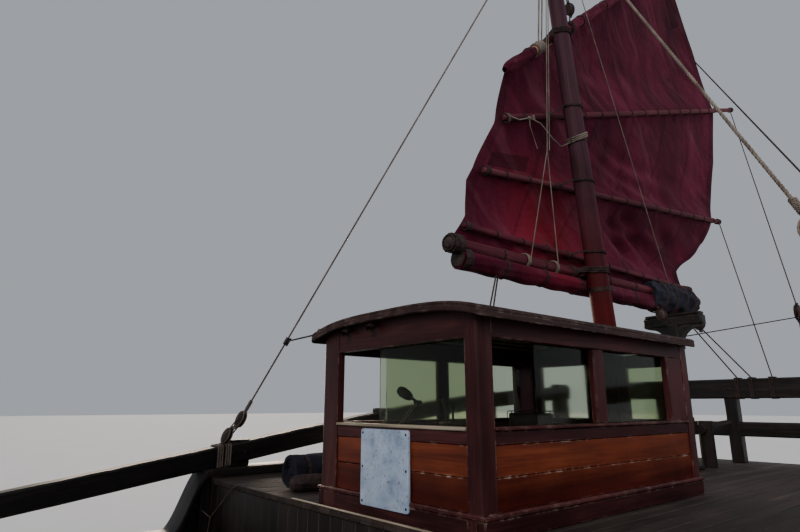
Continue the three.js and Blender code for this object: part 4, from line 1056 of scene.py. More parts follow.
# Steering wheel: eight turned mahogany spokes let into a turned hub, through a laminated rim, with a
# grip beyond the rim at each spoke's end.
helm_x, helm_z = -4.15, 2.08
helm_centre = Vector((helm_x, 0, helm_z))
rim_radius = 0.27
wheel = Joinery(62)
rings = []
for turn in full_turn(64):
    out = Vector((0, math.cos(turn), math.sin(turn)))
    section = ((-0.02, -0.026), (0.02, -0.026), (0.026, -0.016), (0.026, 0.016), (0.02, 0.026),
               (-0.02, 0.026), (-0.026, 0.016), (-0.026, -0.016))
    rings.append([helm_centre + out * (rim_radius + a) + Vector((b, 0, 0)) for a, b in section])
wheel.sweep(rings, loop=True)
turned(wheel, (helm_x - 0.04, 0, helm_z), (helm_x + 0.039, 0, helm_z),
       ((0, 0.03), (0.02, 0.052), (0.2, 0.055), (0.3, 0.047), (0.7, 0.047), (0.8, 0.055), (1, 0.055)), 24)
for index in range(8):
    out = Vector((0, math.cos(index * math.pi / 4), math.sin(index * math.pi / 4)))
    turned(wheel, helm_centre + out * 0.04, helm_centre + out * 0.33,
           ((0, 0.017), (0.12, 0.019), (0.2, 0.013), (0.3, 0.018), (0.45, 0.012), (0.6, 0.018), (0.7, 0.02),
            (0.86, 0.02), (0.88, 0.012), (0.91, 0.013), (0.96, 0.018), (0.99, 0.014), (1, 0.006)), 12)
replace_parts(wheel.finished("steering_wheel", "helm", "spar_wood", mahogany_finish), "helm_wheel")

# Steering pedestal and shelf: a panelled mahogany box for the wheel's gearing, with a bearing boss, and
# a shelf behind the window that carries the engine's two control levers.
pedestal_x, pedestal_half, box_top, pedestal_top = (-4.09, -3.92), 0.15, 2.15, 2.18
shelf_low, shelf_top, lever_box_x = 2.32, 2.352, (-3.86, -3.74)
pedestal = Joinery(63)
pedestal.board((pedestal_x[0] + 0.012, -pedestal_half + 0.012, well_floor),
               (pedestal_x[1], pedestal_half - 0.012, box_top))
for y0, y1 in ((-pedestal_half, -pedestal_half + 0.05), (pedestal_half - 0.05, pedestal_half)):
    pedestal.board((pedestal_x[0], y0, well_floor), (pedestal_x[0] + 0.03, y1, box_top), 0.003)
for z0, z1 in ((well_floor, well_floor + 0.12), (2.09, box_top)):
    pedestal.board((pedestal_x[0], -pedestal_half + 0.051, z0),
                   (pedestal_x[0] + 0.03, pedestal_half - 0.051, z1), 0.003)
pedestal.board((pedestal_x[0] - 0.004, -pedestal_half - 0.004, box_top),
               (pedestal_x[1], pedestal_half + 0.004, pedestal_top), 0.01)
turned(pedestal, (pedestal_x[0] + 0.01, 0, helm_z), (helm_x + 0.041, 0, helm_z),
       ((0, 0.07), (0.4, 0.066), (0.5, 0.06), (1, 0.06)))
pedestal.board((pedestal_x[1], -0.66, shelf_low), (house_front - wall - 0.002, 0.66, shelf_top), 0.006)
for y in (-0.5, 0.5):
    pedestal.board((-3.86, y - 0.015, 2.2), (house_front - wall - 0.002, y + 0.015, shelf_low), 0.004)
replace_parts(pedestal.finished("steering_pedestal", "ship", "mahogany_trim", mahogany_finish), "helm_pedestal")
levers = Joinery(64)
levers.board((lever_box_x[0], 0.37, shelf_top), (lever_box_x[1], 0.49, 2.42), 0.012)
# Each lever: the side it stands at, its tip
for y, tip in ((0.405, (-3.83, 0.34, 2.58)), (0.455, (-3.75, 0.51, 2.54))):
    turned(levers, (-3.8, y, 2.41), tip, ((0, 0.012), (0.1, 0.008), (0.78, 0.007), (0.8, 0.018), (0.97, 0.02),
                                          (1, 0.008)), 10)
levers.finished("engine_levers", "ship", "bronze", iron_finish)

# Chart lamp: a small black lamp on the shelf behind the window, with an oval shade at the end of a folded
# arm of two steel rods.
chart_lamp = Joinery(69)
lamp_foot = Vector((-3.8, -0.1, shelf_top))
lamp_elbow = Vector((-3.8, 0.1, 2.55))
lamp_shade = Vector((-3.8, -0.07, 2.625))
turned(chart_lamp, lamp_foot, lamp_foot + Vector((0, 0, 0.04)),
       ((0, 0.05), (0.6, 0.05), (0.8, 0.03), (1, 0.012)), 20)
for shift in (-0.014, 0.014):
    turned(chart_lamp, lamp_foot + Vector((shift, 0, 0.03)), lamp_elbow + Vector((shift, 0, 0)),
           ((0, 0.006), (1, 0.006)), 8)
turned(chart_lamp, lamp_elbow - Vector((0.03, 0, 0)), lamp_elbow + Vector((0.03, 0, 0)),
       ((0, 0.014), (1, 0.014)), 12)
turned(chart_lamp, lamp_elbow, lamp_elbow.lerp(lamp_shade, 0.5), ((0, 0.01), (1, 0.01)), 10)
turned(chart_lamp, lamp_elbow.lerp(lamp_shade, 0.42), lamp_shade + (lamp_shade - lamp_elbow) * 0.25,
       ((0, 0.012), (0.08, 0.026), (0.3, 0.036), (0.7, 0.04), (0.92, 0.032), (1, 0.012)), 16)
chart_lamp.finished("chart_lamp", "ship", "bronze", iron_finish)

# Helmsman's seat: a mahogany board on a box stand, with slats between two uprights for its back; it
# carries the leather cushions.
seat = Joinery(65)
seat_x, seat_half, stand_top, board_top = (-5.3, -4.8), 0.27, 1.62, 1.66
seat.board((seat_x[0] + 0.15, -0.11, well_floor), (seat_x[1] - 0.15, 0.11, stand_top), 0.008)
seat.board((seat_x[0] + 0.1, -0.16, well_floor), (seat_x[1] - 0.1, 0.16, well_floor + 0.04), 0.008)
seat.board((seat_x[0], -seat_half, stand_top), (seat_x[1], seat_half, board_top), 0.01)
for y0, y1 in ((-0.25, -0.19), (0.19, 0.25)):
    seat.board((-5.34, y0, 1.56), (-5.29, y1, 2.38), 0.008)
for z in np.arange(1.7, 2.3, 0.16):
    seat.board((-5.335, -0.19, z), (-5.3, 0.19, z + 0.09), 0.006)
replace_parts(seat.finished("helm_seat_frame", "ship", "mahogany_trim", mahogany_finish), "helm_seat")

# Masts: each a single fir trunk, adzed round and oiled, with iron hoops driven on and a canvas boot
# where it goes through the deck. The mizzenmast's foot is painted dark red.
mast_finish = wood_finish("oiled_mast", (0.034, 0.012, 0.019), (0.066, 0.026, 0.038), (0.125, 0.06, 0.075),
                          rough=(0.55, 0.8), grain_depth=0.003, streak=1.2, shine=0.15)
mast_height = mast_finish.node("SeparateXYZ", mast_finish.place).outputs["Z"]
mast_colour = mast_finish.shader.inputs["Base Color"].links[0].from_socket
foot_red = mast_finish.ramp(mast_finish.maths("MULTIPLY", mast_height, 0.1), (0.36, (1.2, 0.2, 0.16)),
                            (0.52, (1.0, 1.0, 1.0)))
mast_finish.colour(mast_finish.mixed(1.0, mast_colour, foot_red, "MULTIPLY"))
canvas_finish = Finish("navy_canvas", Sheen_Weight=0.03, Specular_IOR_Level=0.15)
canvas_cloud = canvas_finish.noise(canvas_finish.place, 3, detail=5)
canvas_thread = canvas_finish.noise(canvas_finish.place, 260, detail=2)
canvas_finish.colour(canvas_finish.ramp(canvas_cloud, (0.3, (0.006, 0.006, 0.011)),
                                        (0.7, (0.024, 0.023, 0.038))))
canvas_finish.roughness(canvas_thread, 0.75, 0.95)
canvas_finish.relief((canvas_cloud, 0.4, 0.01), (canvas_thread, 0.5, 0.0008))
# Each mast: name, foot x, deck height, lean forward per unit of height, top z, foot and top radius
masts = {"fore": ("foremast", 7.3, fore_deck_top, 0.105, 9.6, 0.14, 0.09),
         "main": ("mainmast", 2.8, waist_deck_top, 0.026, 12.8, 0.19, 0.115),
         "mizzen": ("mizzenmast", -6.84, quarter_deck_top, 0.117, 8.95, 0.128, 0.085)}


def mast_axis(mast, z):
    return Vector((mast[1] + (z - mast[2]) * mast[3], 0, z))


def mast_radius(mast, z):
    return mast[5] + (mast[6] - mast[5]) * (z - mast[2]) / (mast[4] - mast[2])


for number, mast in enumerate(masts.values()):
    name, _, deck_z, _, top_z, foot_radius, top_radius = mast
    pole, hoops, boot = Joinery(70 + number), Joinery(73 + number), Joinery(76 + number)
    foot, head = mast_axis(mast, deck_z + 0.001), mast_axis(mast, top_z - 0.05)
    rings = []
    for share in np.linspace(0, 1, 70):
        adzed = 1 + pole.dice.uniform(-0.006, 0.006)
        rings.append((float(share), mast_radius(mast, deck_z + share * (top_z - deck_z)) * adzed))
    rings += [(1.004, top_radius * 0.8), (1.006, top_radius * 0.3)]
    turned(pole, foot, head, rings, 32, tone=0.5)
    for share in (0.28, 0.52, 0.93, 0.985):
        z = deck_z + share * (top_z - deck_z)
        outer = mast_radius(mast, z) + 0.004
        turned(hoops, mast_axis(mast, z - 0.025), mast_axis(mast, z + 0.025),
               ((0, outer - 0.006), (0.02, outer), (0.98, outer), (1, outer - 0.006)), 32)
    collar = [(0, 0.055), (0.15, 0.05), (0.5, 0.03), (0.75, 0.014), (0.86, 0.011), (0.88, 0.018),
              (0.96, 0.018), (1, 0.004)]
    turned(boot, foot, mast_axis(mast, deck_z + 0.2), [(s, foot_radius + out) for s, out in collar], 32)
    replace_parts(pole.finished(f"{name}_pole", "ship", "spar_wood", mast_finish), name)
    hoops.finished(f"{name}_hoops", "ship", "bronze", iron_finish)
    boot.finished(f"{name}_boot", "ship", "awning_canvas", canvas_finish)

# Sails: stout cotton canvas tanned dark red, cut in one piece, laced at intervals to a yard, battens and
# a boom on its port side, so that each panel sags from its lashings and bellies to starboard. Tabling is
# sewn round its edges, its seams are doubled, and it has a darker patch by the luff. Two marks of painted
# light are in its colour: a brighter red glow low by the mizzen mast, for sunlight shining through the
# cloth, and slanting pale mauve streaks of painted highlight.
sail_finish = Finish("tanned_sailcloth_painted_light", Sheen_Weight=0.02, Sheen_Roughness=0.5, Specular_IOR_Level=0.08)
flat = sail_finish.attribute("grain", "Vector")
sail_cloud = sail_finish.noise(flat, 0.9, detail=6, rough=0.6, warp=0.4)
sail_streak = sail_finish.noise(sail_finish.stretched(flat, 3.2, 1, 0.8), detail=6, rough=0.65, warp=0.8)
sail_thread = sail_finish.noise(sail_finish.stretched(flat, 1, 1, 2.5), 130, detail=2)
sail_wrinkle = sail_finish.noise(sail_finish.stretched(flat, 1, 1, 1.6), 4.5, detail=5, rough=0.6, warp=0.8)
sail_colour = sail_finish.ramp(sail_finish.mixed(0.28, sail_cloud, sail_streak), (0.34, (0.03, 0.0025, 0.009)),
                          (0.5, (0.07, 0.005, 0.018)), (0.68, (0.13, 0.014, 0.037)))
sail_colour = sail_finish.mixed(1.0, sail_colour, sail_finish.ramp(sail_thread, (0.35, 0.8), (0.65, 1.15)), "MULTIPLY")
mildew = sail_finish.ramp(sail_finish.noise(flat, 7, detail=6, rough=0.75), (0.6, 0.0), (0.75, 0.5))
sail_colour = sail_finish.mixed(mildew, sail_colour, (0.05, 0.012, 0.02))
# Painted glow: cloth low by the mizzen mast is mixed toward a brighter red, painted in for sunlight shining
# through the sail from behind.
glow_distance = sail_finish.node("VectorMath", sail_finish.place, (-6.15, -0.25, 4.45),
                             operation="DISTANCE").outputs["Value"]
painted_glow_share = sail_finish.ramp(sail_finish.mixed(0.25, glow_distance, sail_cloud), (0.2, 0.7), (0.95, 0.0))
sail_colour = sail_finish.mixed(painted_glow_share, sail_colour, sail_finish.ramp(sail_cloud, (0.35, (0.15, 0.006, 0.014)),
                                                               (0.65, (0.3, 0.014, 0.03))))
# Painted highlight: slanting streaks mixed toward a pale mauve stand for light catching the cloth.
slanted = sail_finish.node("VectorRotate", flat, rotation_type="Y_AXIS")
slanted.inputs["Angle"].default_value = math.radians(42)
painted_highlight_streak = sail_finish.noise(sail_finish.stretched(slanted.outputs[0], 0.5, 1, 2.6), 1.6, detail=5,
                               rough=0.6, warp=0.5)
sail_colour = sail_finish.mixed(sail_finish.ramp(painted_highlight_streak, (0.52, 0.0), (0.74, 0.45)), sail_colour,
                           (0.16, 0.045, 0.068))
sewn = sail_finish.ramp(sail_finish.attribute("tone"), (0.2, 0.5), (0.5, 1.0), (0.8, 1.2))
sail_finish.colour(sail_finish.mixed(1.0, sail_colour, sewn, "MULTIPLY"))
sail_finish.roughness(sail_thread, 0.7, 0.95)
sail_finish.relief((sail_wrinkle, 0.45, 0.05), (sail_thread, 0.5, 0.0012))
cloth_half = 0.003
# Each sail: the edge of the cloth up the luff and up the leech, then its spars from the foot up, each with
# its name, its forward and after end and its radius
sails = {
    "mizzen": {
        "face": -0.251, "cell": 0.05,
        "luff": ((-4.5, 3.97), (-4.76, 4.3), (-4.787, 4.678), (-5.235, 5.436), (-5.49, 6.24)),
        "leech": ((-9.5, 4.03), (-9.28, 4.25), (-9.3, 4.44), (-9.88, 4.74), (-10.47, 5.13), (-10.78, 5.53),
                  (-11.37, 6.8), (-11.623, 7.9), (-11.18, 8.98), (-10.29, 10.37)),
        "spars": (("boom", (-4.451, 3.955), (-9.617, 4.001), 0.062),
                  ("batten_1", (-4.668, 4.172), (-9.5, 4.182), 0.034),
                  ("batten_2", (-4.982, 4.817), (-11.016, 5.567), 0.036),
                  ("batten_3", (-5.338, 5.519), (-12.498, 8.23), 0.038),
                  ("yard", (-5.451, 6.174), (-10.353, 10.434), 0.058))},
    "main": {
        "face": -0.358, "cell": 0.085,
        "luff": ((4.41, 3.17), (4.46, 4.16), (4.46, 5.16), (4.36, 6.17), (4.22, 7.12), (4.17, 7.99)),
        "leech": ((-0.72, 3.24), (-0.82, 4.63), (-1.33, 6.19), (-2.13, 8.08), (-2.7, 10.49),
                  (-2.35, 12.2), (-1.64, 13.83)),
        "spars": (("boom", (4.45, 3.15), (-0.78, 3.23), 0.085),
                  ("batten_1", (4.5, 4.15), (-0.9, 4.64), 0.045),
                  ("batten_2", (4.5, 5.15), (-1.46, 6.22), 0.045),
                  ("batten_3", (4.4, 6.15), (-2.26, 8.13), 0.045),
                  ("batten_4", (4.27, 7.08), (-2.83, 10.56), 0.045),
                  ("yard", (4.2, 7.9), (-1.7, 13.9), 0.08))},
    "fore": {
        "face": -0.266, "cell": 0.08,
        "luff": ((8.72, 3.32), (8.77, 4.21), (8.73, 5.09), (8.6, 5.93), (8.54, 6.7)),
        "leech": ((5.2, 3.34), (5.04, 4.54), (4.93, 5.92), (4.93, 7.34), (4.99, 8.6), (5.29, 10.09)),
        "spars": (("boom", (8.75, 3.3), (5.15, 3.33), 0.062),
                  ("batten_1", (8.8, 4.2), (4.96, 4.56), 0.036),
                  ("batten_2", (8.76, 5.08), (4.86, 5.95), 0.036),
                  ("batten_3", (8.64, 5.9), (4.78, 7.42), 0.036),
                  ("yard", (8.56, 6.64), (5.25, 10.15), 0.058))}}
lashing_pitch, tabling_width, seam_pitch = 0.44, 0.15, 0.75
cloth_frames = 26


def edge_lengths(edge):
    return [0.0, *np.cumsum([math.dist(a, b) for a, b in zip(edge, edge[1:])])]


def edge_point(edge, run):
    lengths = edge_lengths(edge)
    return (float(np.interp(run, lengths, [x for x, _ in edge])),
            float(np.interp(run, lengths, [z for _, z in edge])))


def edge_crossing(edge, fore_end, aft_end):
    """How far along the cloth's edge the line of a spar crosses it."""
    (ax, az), (bx, bz) = fore_end, aft_end
    lengths = edge_lengths(edge)
    sides_of = [(bx - ax) * (z - az) - (bz - az) * (x - ax) for x, z in edge]
    for i, (here, there) in enumerate(zip(sides_of, sides_of[1:])):
        if here * there <= 0 and here != there:
            return lengths[i] + (lengths[i + 1] - lengths[i]) * here / (here - there)
    return 0.0 if abs(sides_of[0]) < abs(sides_of[-1]) else lengths[-1]


def flat_sail(cut):
    """The cloth as it was cut: rows of points from luff to leech, and the rows that lie on spars."""
    spars = cut["spars"]
    marks = []
    for edge in (cut["luff"], cut["leech"]):
        total = edge_lengths(edge)[-1]
        marks.append([0.0, *(edge_crossing(edge, fore, aft) for _, fore, aft, _ in spars[1:-1]), total])
    columns = int(math.dist(cut["luff"][2], cut["leech"][2]) / cut["cell"])
    rows, spar_rows = [], []
    for panel in range(len(spars) - 1):
        spans = [mark[panel + 1] - mark[panel] for mark in marks]
        count = max(int(sum(spans) / 2 / cut["cell"]), 4)
        spar_rows.append(len(rows))
        for v in np.linspace(0, 1, count, endpoint=False):
            ends = [edge_point(edge, mark[panel] + span * v)
                    for edge, mark, span in zip((cut["luff"], cut["leech"]), marks, spans)]
            rows.append([Vector(ends[0]).lerp(Vector(ends[1]), u) for u in np.linspace(0, 1, columns + 1)])
    spar_rows.append(len(rows))
    rows.append([Vector(cut["luff"][-1]).lerp(Vector(cut["leech"][-1]), u)
                 for u in np.linspace(0, 1, columns + 1)])
    return np.array([[(x, z) for x, z in row] for row in rows]), spar_rows


def laced_columns(row, pitch):
    """The columns of a row where the cloth is laced to its spar, evenly spaced along it."""
    run = np.concatenate([[0], np.cumsum(np.linalg.norm(np.diff(row, axis=0), axis=1))])
    count = max(int(round(run[-1] / pitch)), 2)
    return sorted({int(np.argmin(abs(run - target)))
                   for target in np.linspace(0.04, run[-1] - 0.04, count + 1)})


def blown(name, grid, y, pinned):
    """The cloth after it has sagged from its lashings and filled a little, by a cloth simulation."""
    rows, columns = grid.shape[:2]
    mesh = bpy.data.meshes.new(name + "_flat")
    faces = [(i * columns + j, i * columns + j + 1, (i + 1) * columns + j + 1, (i + 1) * columns + j)
             for i in range(rows - 1) for j in range(columns - 1)]
    ripple = 0.004 * np.sin(grid[:, :, 0] * 9.0 + grid[:, :, 1] * 5.0)
    points = np.dstack([grid[:, :, 0], np.full((rows, columns), y) - abs(ripple),
                        grid[:, :, 1]]).reshape(-1, 3)
    mesh.from_pydata(points.tolist(), [], faces)
    cloth = bpy.data.objects.new(name + "_flat", mesh)
    bpy.context.scene.collection.objects.link(cloth)
    pins = cloth.vertex_groups.new(name="laced")
    pins.add([int(i * columns + j) for i, j in pinned], 1.0, "REPLACE")
    modifier = cloth.modifiers.new("cloth", "CLOTH")
    settings = modifier.settings
    settings.vertex_group_mass = "laced"
    settings.quality = 6
    settings.mass = 0.4
    settings.tension_stiffness = settings.compression_stiffness = 18
    settings.shear_stiffness = 6
    settings.bending_stiffness = 0.9
    settings.air_damping = 2.5
    settings.shrink_min = -0.009
    modifier.point_cache.frame_start = 1
    modifier.point_cache.frame_end = cloth_frames
    scene = bpy.context.scene
    scene.gravity = (0, -4.5, -8.5)
    for number in range(1, cloth_frames + 1):
        scene.frame_set(number)
    settled = cloth.evaluated_get(bpy.context.evaluated_depsgraph_get())
    result = np.array([vertex.co for vertex in settled.data.vertices]).reshape(rows, columns, 3)
    bpy.data.objects.remove(cloth)
    scene.frame_set(1)
    scene.gravity = (0, 0, -9.81)
    from_edge = np.minimum(np.arange(columns), np.arange(columns)[::-1])
    roped = np.exp(-from_edge / 4)[None, :]
    result[:, :, 0] += (grid[:, :, 0] - result[:, :, 0]) * roped
    result[:, :, 2] += (grid[:, :, 1] - result[:, :, 2]) * roped
    result[:, :, 1] += (y - result[:, :, 1]) * 0.85 * np.exp(-from_edge / 7)[None, :]
    return result


# The mizzen's long creases, that fan aft and down from where a batten bears on the mast. Each fan: its
# source, its first and last direction in degrees above dead aft, its length, creases, depth
crease_fans = ((-6.1, 6.1, 2, -44, 5.4, 5, 0.11), (-5.9, 5.3, -3, -23, 4.4, 3, 0.1),
               (-5.3, 5.3, -150, -115, 1.6, 2, 0.04), (-5.6, 6.0, 50, 24, 4.6, 3, 0.045))


def creased(shape, spar_rows):
    """The settled cloth, its upright folds half smoothed and the fans of creases pressed into it."""
    x, z = shape[:, :, 0], shape[:, :, 2]
    span = 5
    padded = np.pad(shape[:, :, 1], ((0, 0), (span, span)), mode="edge")
    smooth = sum(padded[:, shift:shift + x.shape[1]] for shift in range(2 * span + 1)) / (2 * span + 1)
    free = np.ones(shape.shape[:2])
    for row in spar_rows:
        free *= (1 - np.exp(-(np.arange(shape.shape[0]) - row) ** 2 / 12))[:, None]
    shape[:, :, 1] += (smooth - shape[:, :, 1]) * 0.6 * free
    for source_x, source_z, first, last, reach, count, depth in crease_fans:
        away = np.hypot(x - source_x, z - source_z)
        bearing = np.degrees(np.arctan2(z - source_z, source_x - x))
        share = (bearing - first) / (last - first)
        inside = np.clip(share * 6, 0, 1) * np.clip((1 - share) * 6, 0, 1)
        fade = np.clip((away - 0.9) / 1.2, 0, 1) * np.clip((reach - away) / (reach * 0.5), 0, 1)
        wave = share * count + 0.2 * np.sin(away * 2.1 + share * 5)
        valley = 1 - np.abs(np.cos(math.pi * wave)) ** 2
        shape[:, :, 1] -= depth * valley * inside * fade * free
    for _ in range(2):
        ring = np.pad(shape[:, :, 1], 1, mode="edge")
        near = (ring[:-2, 1:-1] + ring[2:, 1:-1] + ring[1:-1, :-2] + ring[1:-1, 2:]) / 4
        shape[:, :, 1] += (near - shape[:, :, 1]) * 0.7 * free
    return shape


def sewn_layer(work, shape, grid, half, tone, rows=slice(None), columns=slice(None)):
    """A layer of cloth with both faces and its edge, over some rows and columns of the settled sail."""
    across = np.gradient(shape, axis=1)
    upward = np.gradient(shape, axis=0)
    normal = np.cross(across, upward)
    normal /= np.linalg.norm(normal, axis=2, keepdims=True) + 1e-9
    part, lift = shape[rows, columns], normal[rows, columns] * half
    plan = grid[rows, columns]
    high, wide = part.shape[:2]
    points = np.concatenate([(part + lift).reshape(-1, 3), (part - lift).reshape(-1, 3)])
    shift = high * wide
    faces = []
    for i in range(high - 1):
        for j in range(wide - 1):
            a, b, c, d = i * wide + j, i * wide + j + 1, (i + 1) * wide + j + 1, (i + 1) * wide + j
            faces += [(a, b, c, d), (shift + d, shift + c, shift + b, shift + a)]
    rim = [j for j in range(wide)] + [i * wide + wide - 1 for i in range(1, high)]
    rim += [(high - 1) * wide + j for j in range(wide - 2, -1, -1)]
    rim += [i * wide for i in range(high - 2, 0, -1)]
    faces += [(b, a, shift + a, shift + b) for a, b in zip(rim, rim[1:] + rim[:1])]
    grain = [(x, 0.0, z) for x, z in plan.reshape(-1, 2)] * 2
    first = len(work.points)
    work.add(points.tolist(), faces, grain=grain, tone=tone)
    work.grain[first:] = grain


sail_shapes = {}
for rig, cut in sails.items():
    grid, spar_rows = flat_sail(cut)
    pinned, laced = [], []
    for (spar_name, _, _, radius), row in zip(cut["spars"], spar_rows):
        pitch = lashing_pitch / 2 if spar_name in ("boom", "yard") else lashing_pitch
        for column in laced_columns(grid[row], pitch):
            pinned.append((row, column))
            laced.append((spar_name, float(grid[row, column, 0]), float(grid[row, column, 1])))
    shape = blown(f"{rig}_sail", grid, cut["face"] - cloth_half, pinned)
    if rig == "mizzen":
        shape = creased(shape, spar_rows)
    shape[:, :, 1] = np.minimum(shape[:, :, 1], cut["face"] - cloth_half)
    sail_shapes[rig] = (shape, grid, spar_rows, laced)
    work = Joinery(80)
    sewn_layer(work, shape, grid, cloth_half, 0.5)
    last_row, last_column = grid.shape[0] - 1, grid.shape[1] - 1
    tabling = max(int(tabling_width / cut["cell"]), 1)
    for columns in (slice(0, tabling + 1), slice(last_column - tabling, last_column + 1)):
        sewn_layer(work, shape, grid, cloth_half + 0.0025, 0.32, columns=columns)
    sewn_layer(work, shape, grid, cloth_half + 0.0022, 0.6, rows=slice(last_row - tabling - 1, last_row + 1))
    for row in spar_rows[1:-1]:
        sewn_layer(work, shape, grid, cloth_half + 0.002, 0.42, rows=slice(row - 1, row + 2))
    seam_step = int(seam_pitch / cut["cell"])
    for column in range(seam_step, last_column - 2, seam_step):
        sewn_layer(work, shape, grid, cloth_half + 0.0012, 0.36, columns=slice(column, column + 2))
    if rig == "mizzen":
        row = spar_rows[2] + 6
        sewn_layer(work, shape, grid, cloth_half + 0.003, 0.12, slice(row, row + 9), slice(3, 14))
        row = spar_rows[3] + 22
        sewn_layer(work, shape, grid, cloth_half + 0.003, 0.2, slice(row, row + 14),
                   slice(last_column - 6, last_column - 1))
    sail = work.finished(f"{rig}_canvas", f"{rig}_rig", "sailcloth", sail_finish, crease=60)
    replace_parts(sail, f"{rig}_sail")
    outline = [*cut["luff"], *reversed(cut["leech"])]
    turns = zip(outline, outline[1:] + outline[:1])
    cut_area = abs(sum(a[0] * b[1] - b[0] * a[1] for a, b in turns)) / 2

# Spars: fir poles, oiled like the masts. The boom and yard are thick and round; the battens are slimmer,
# slightly bowed and knotty, and stick out past the leech.
spar_finish = wood_finish("oiled_spars", (0.045, 0.008, 0.013), (0.1, 0.019, 0.029), (0.19, 0.055, 0.066),
                          rough=(0.52, 0.78), grain_depth=0.003, streak=1.4, shine=0.15)
bare_finish = wood_finish("bare_yard_wood", (0.18, 0.09, 0.05), (0.34, 0.2, 0.12), (0.5, 0.34, 0.22),
                          rough=(0.4, 0.7), grain_depth=0.002, streak=1.2)
spar_gap = 0.0003


def spar_line(rig, spar):
    """The two ends of a spar's middle line."""
    y = sails[rig]["face"] + spar_gap + spar[3]
    return Vector((spar[1][0], y, spar[1][1])), Vector((spar[2][0], y, spar[2][1]))


for rig, cut in sails.items():
    for number, spar in enumerate(cut["spars"]):
        name, radius = spar[0], spar[3]
        fore_end, aft_end = spar_line(rig, spar)
        pole = Joinery(90 + number)
        length = (aft_end - fore_end).length
        rings = [(0.0, radius * 0.55), (0.012 / length, radius * 0.86), (0.03 / length, radius * 0.97)]
        for share in np.linspace(0.06 / length, 1 - 0.06 / length, int(length / 0.09)):
            knot = 0.05 * max(0.0, math.sin(share * length * 14 + number)) ** 12
            rings.append((float(share), radius * (0.975 + knot * 0.4 + pole.dice.uniform(-0.012, 0.006))))
        rings += [(1 - 0.03 / length, radius * 0.95), (1 - 0.012 / length, radius * 0.84),
                  (1.0, radius * 0.5)]
        turned(pole, fore_end, aft_end, rings, 18, tone=0.5)
        finish = bare_finish if name == "yard" and rig == "mizzen" else spar_finish
        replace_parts(pole.finished(f"{rig}_{name}_pole", f"{rig}_rig", "spar_wood", finish), f"{rig}_{name}")

# Yard sleeve: the head of the mizzen sail is sewn round its yard as a sleeve, in two lengths that leave
# bare wood between them for the halyard.
sleeve = Joinery(100)
yard_fore, yard_aft = spar_line("mizzen", sails["mizzen"]["spars"][4])
yard_length = (yard_aft - yard_fore).length
yard_along = (yard_aft - yard_fore).normalized()
yard_up = Vector((0, 1, 0)).cross(yard_along).normalized()
sleeve_radius = 0.064
sleeve_runs = ((-0.1, 0.62), (1.05, yard_length + 0.02))
for start, end in sleeve_runs:
    lengths = np.linspace(start, end, int((end - start) / 0.035))
    shape, plan = [], []
    for run in lengths:
        ring, flat_ring = [], []
        near_end = min(run - start, end - run)
        for a in np.linspace(0, 2 * math.pi, 33):
            fold = 0.0035 * math.sin(5 * a + run * 9) + 0.003 * math.sin(3 * a - run * 17)
            gathered = 1 - 0.14 * math.exp(-near_end / 0.03)
            radius = (sleeve_radius + fold) * gathered * min(1, 0.5 + 5 * (run + 0.1))
            out = Vector((0, 1, 0)) * math.cos(a) + yard_up * math.sin(a)
            ring.append(yard_fore + yard_along * run + out * radius)
            flat_ring.append((run, a * sleeve_radius))
        shape.append(ring)
        plan.append(flat_ring)
    sewn_layer(sleeve, np.array(shape), np.array(plan), cloth_half, 0.5)
yard_sleeve = sleeve.finished("mizzen_yard_sleeve", "mizzen_rig", "sailcloth", sail_finish, crease=60)

# Foot roll: the lowest cloth of the mizzen sail, rolled up and tied under the boom every 0.6 m with
# turns of tarred line, with a loose fold that hangs along its lower edge.
boom_fore, boom_aft = spar_line("mizzen", sails["mizzen"]["spars"][0])
boom_along = (boom_aft - boom_fore).normalized()
tie_pitch = 0.62
roll_start, roll_end = 0.12, 4.75


def round_mast(mast, z, reach, a):
    """A point at height z and angle a, at a distance from the mast's middle line."""
    return mast_axis(mast, z) + Vector((math.cos(a) * reach, math.sin(a) * reach, 0))


def clear_of_mast(point, mast, room):
    """The point, pushed out from the mast's middle line if it is nearer than room to its surface."""
    axis = mast_axis(mast, point.z)
    away = Vector((point.x - axis.x, point.y, 0))
    reach = mast_radius(mast, point.z) + room
    return point if away.length >= reach else Vector((axis.x, 0, point.z)) + away.normalized() * reach


def ends_tucked(rings, inward, steps, centres=None):
    """The rings of a roll with both ends drawn in. Each step: share of the end's radius, depth inward."""
    for end, way in ((0, inward), (-1, -inward)):
        centre = centres[end] if centres else sum(rings[end], Vector()) / len(rings[end])
        tucks = [[centre.lerp(Vector(point), share) + way * depth for point in rings[end]]
                 for share, depth in steps]
        rings = [*tucks, *rings] if end == 0 else [*rings, *reversed(tucks)]
    return rings


def roll_ring(run, count=36):
    share = (run - roll_start) / (roll_end - roll_start)
    phase = (run - roll_start) % tie_pitch / tie_pitch
    swell = math.sin(math.pi * phase) ** 0.6
    radius = 0.082 + 0.016 * share + 0.006 * swell
    middle = boom_fore + boom_along * run + Vector((0, -0.01, -0.122 - 0.028 * share - 0.004 * swell))
    ring = []
    for a in full_turn(count):
        down = max(0.0, -math.sin(a))
        fold = 0.007 * math.sin(3 * a + 1.1 * run) + 0.003 * math.sin(8 * a - 3.1 * run)
        fold += (0.012 + 0.006 * math.sin(run * 13)) * down ** 2
        out = Vector((0, math.cos(a), math.sin(a))) * (radius + fold)
        ring.append(clear_of_mast(middle + out, masts["mizzen"], 0.014))
    return ring


foot_roll, roll_ties = Joinery(101), Joinery(102)
runs = np.linspace(roll_start, roll_end, 190)
rings = [roll_ring(float(run)) for run in runs]
rings = ends_tucked(rings, boom_along * 0.03, ((0.3, 1.0), (0.62, 0.3), (0.88, 0.0)))
foot_roll.sweep(rings, tone=0.55)
roll = foot_roll.finished("mizzen_foot_roll", "mizzen_rig", "sailcloth", sail_finish, crease=70)

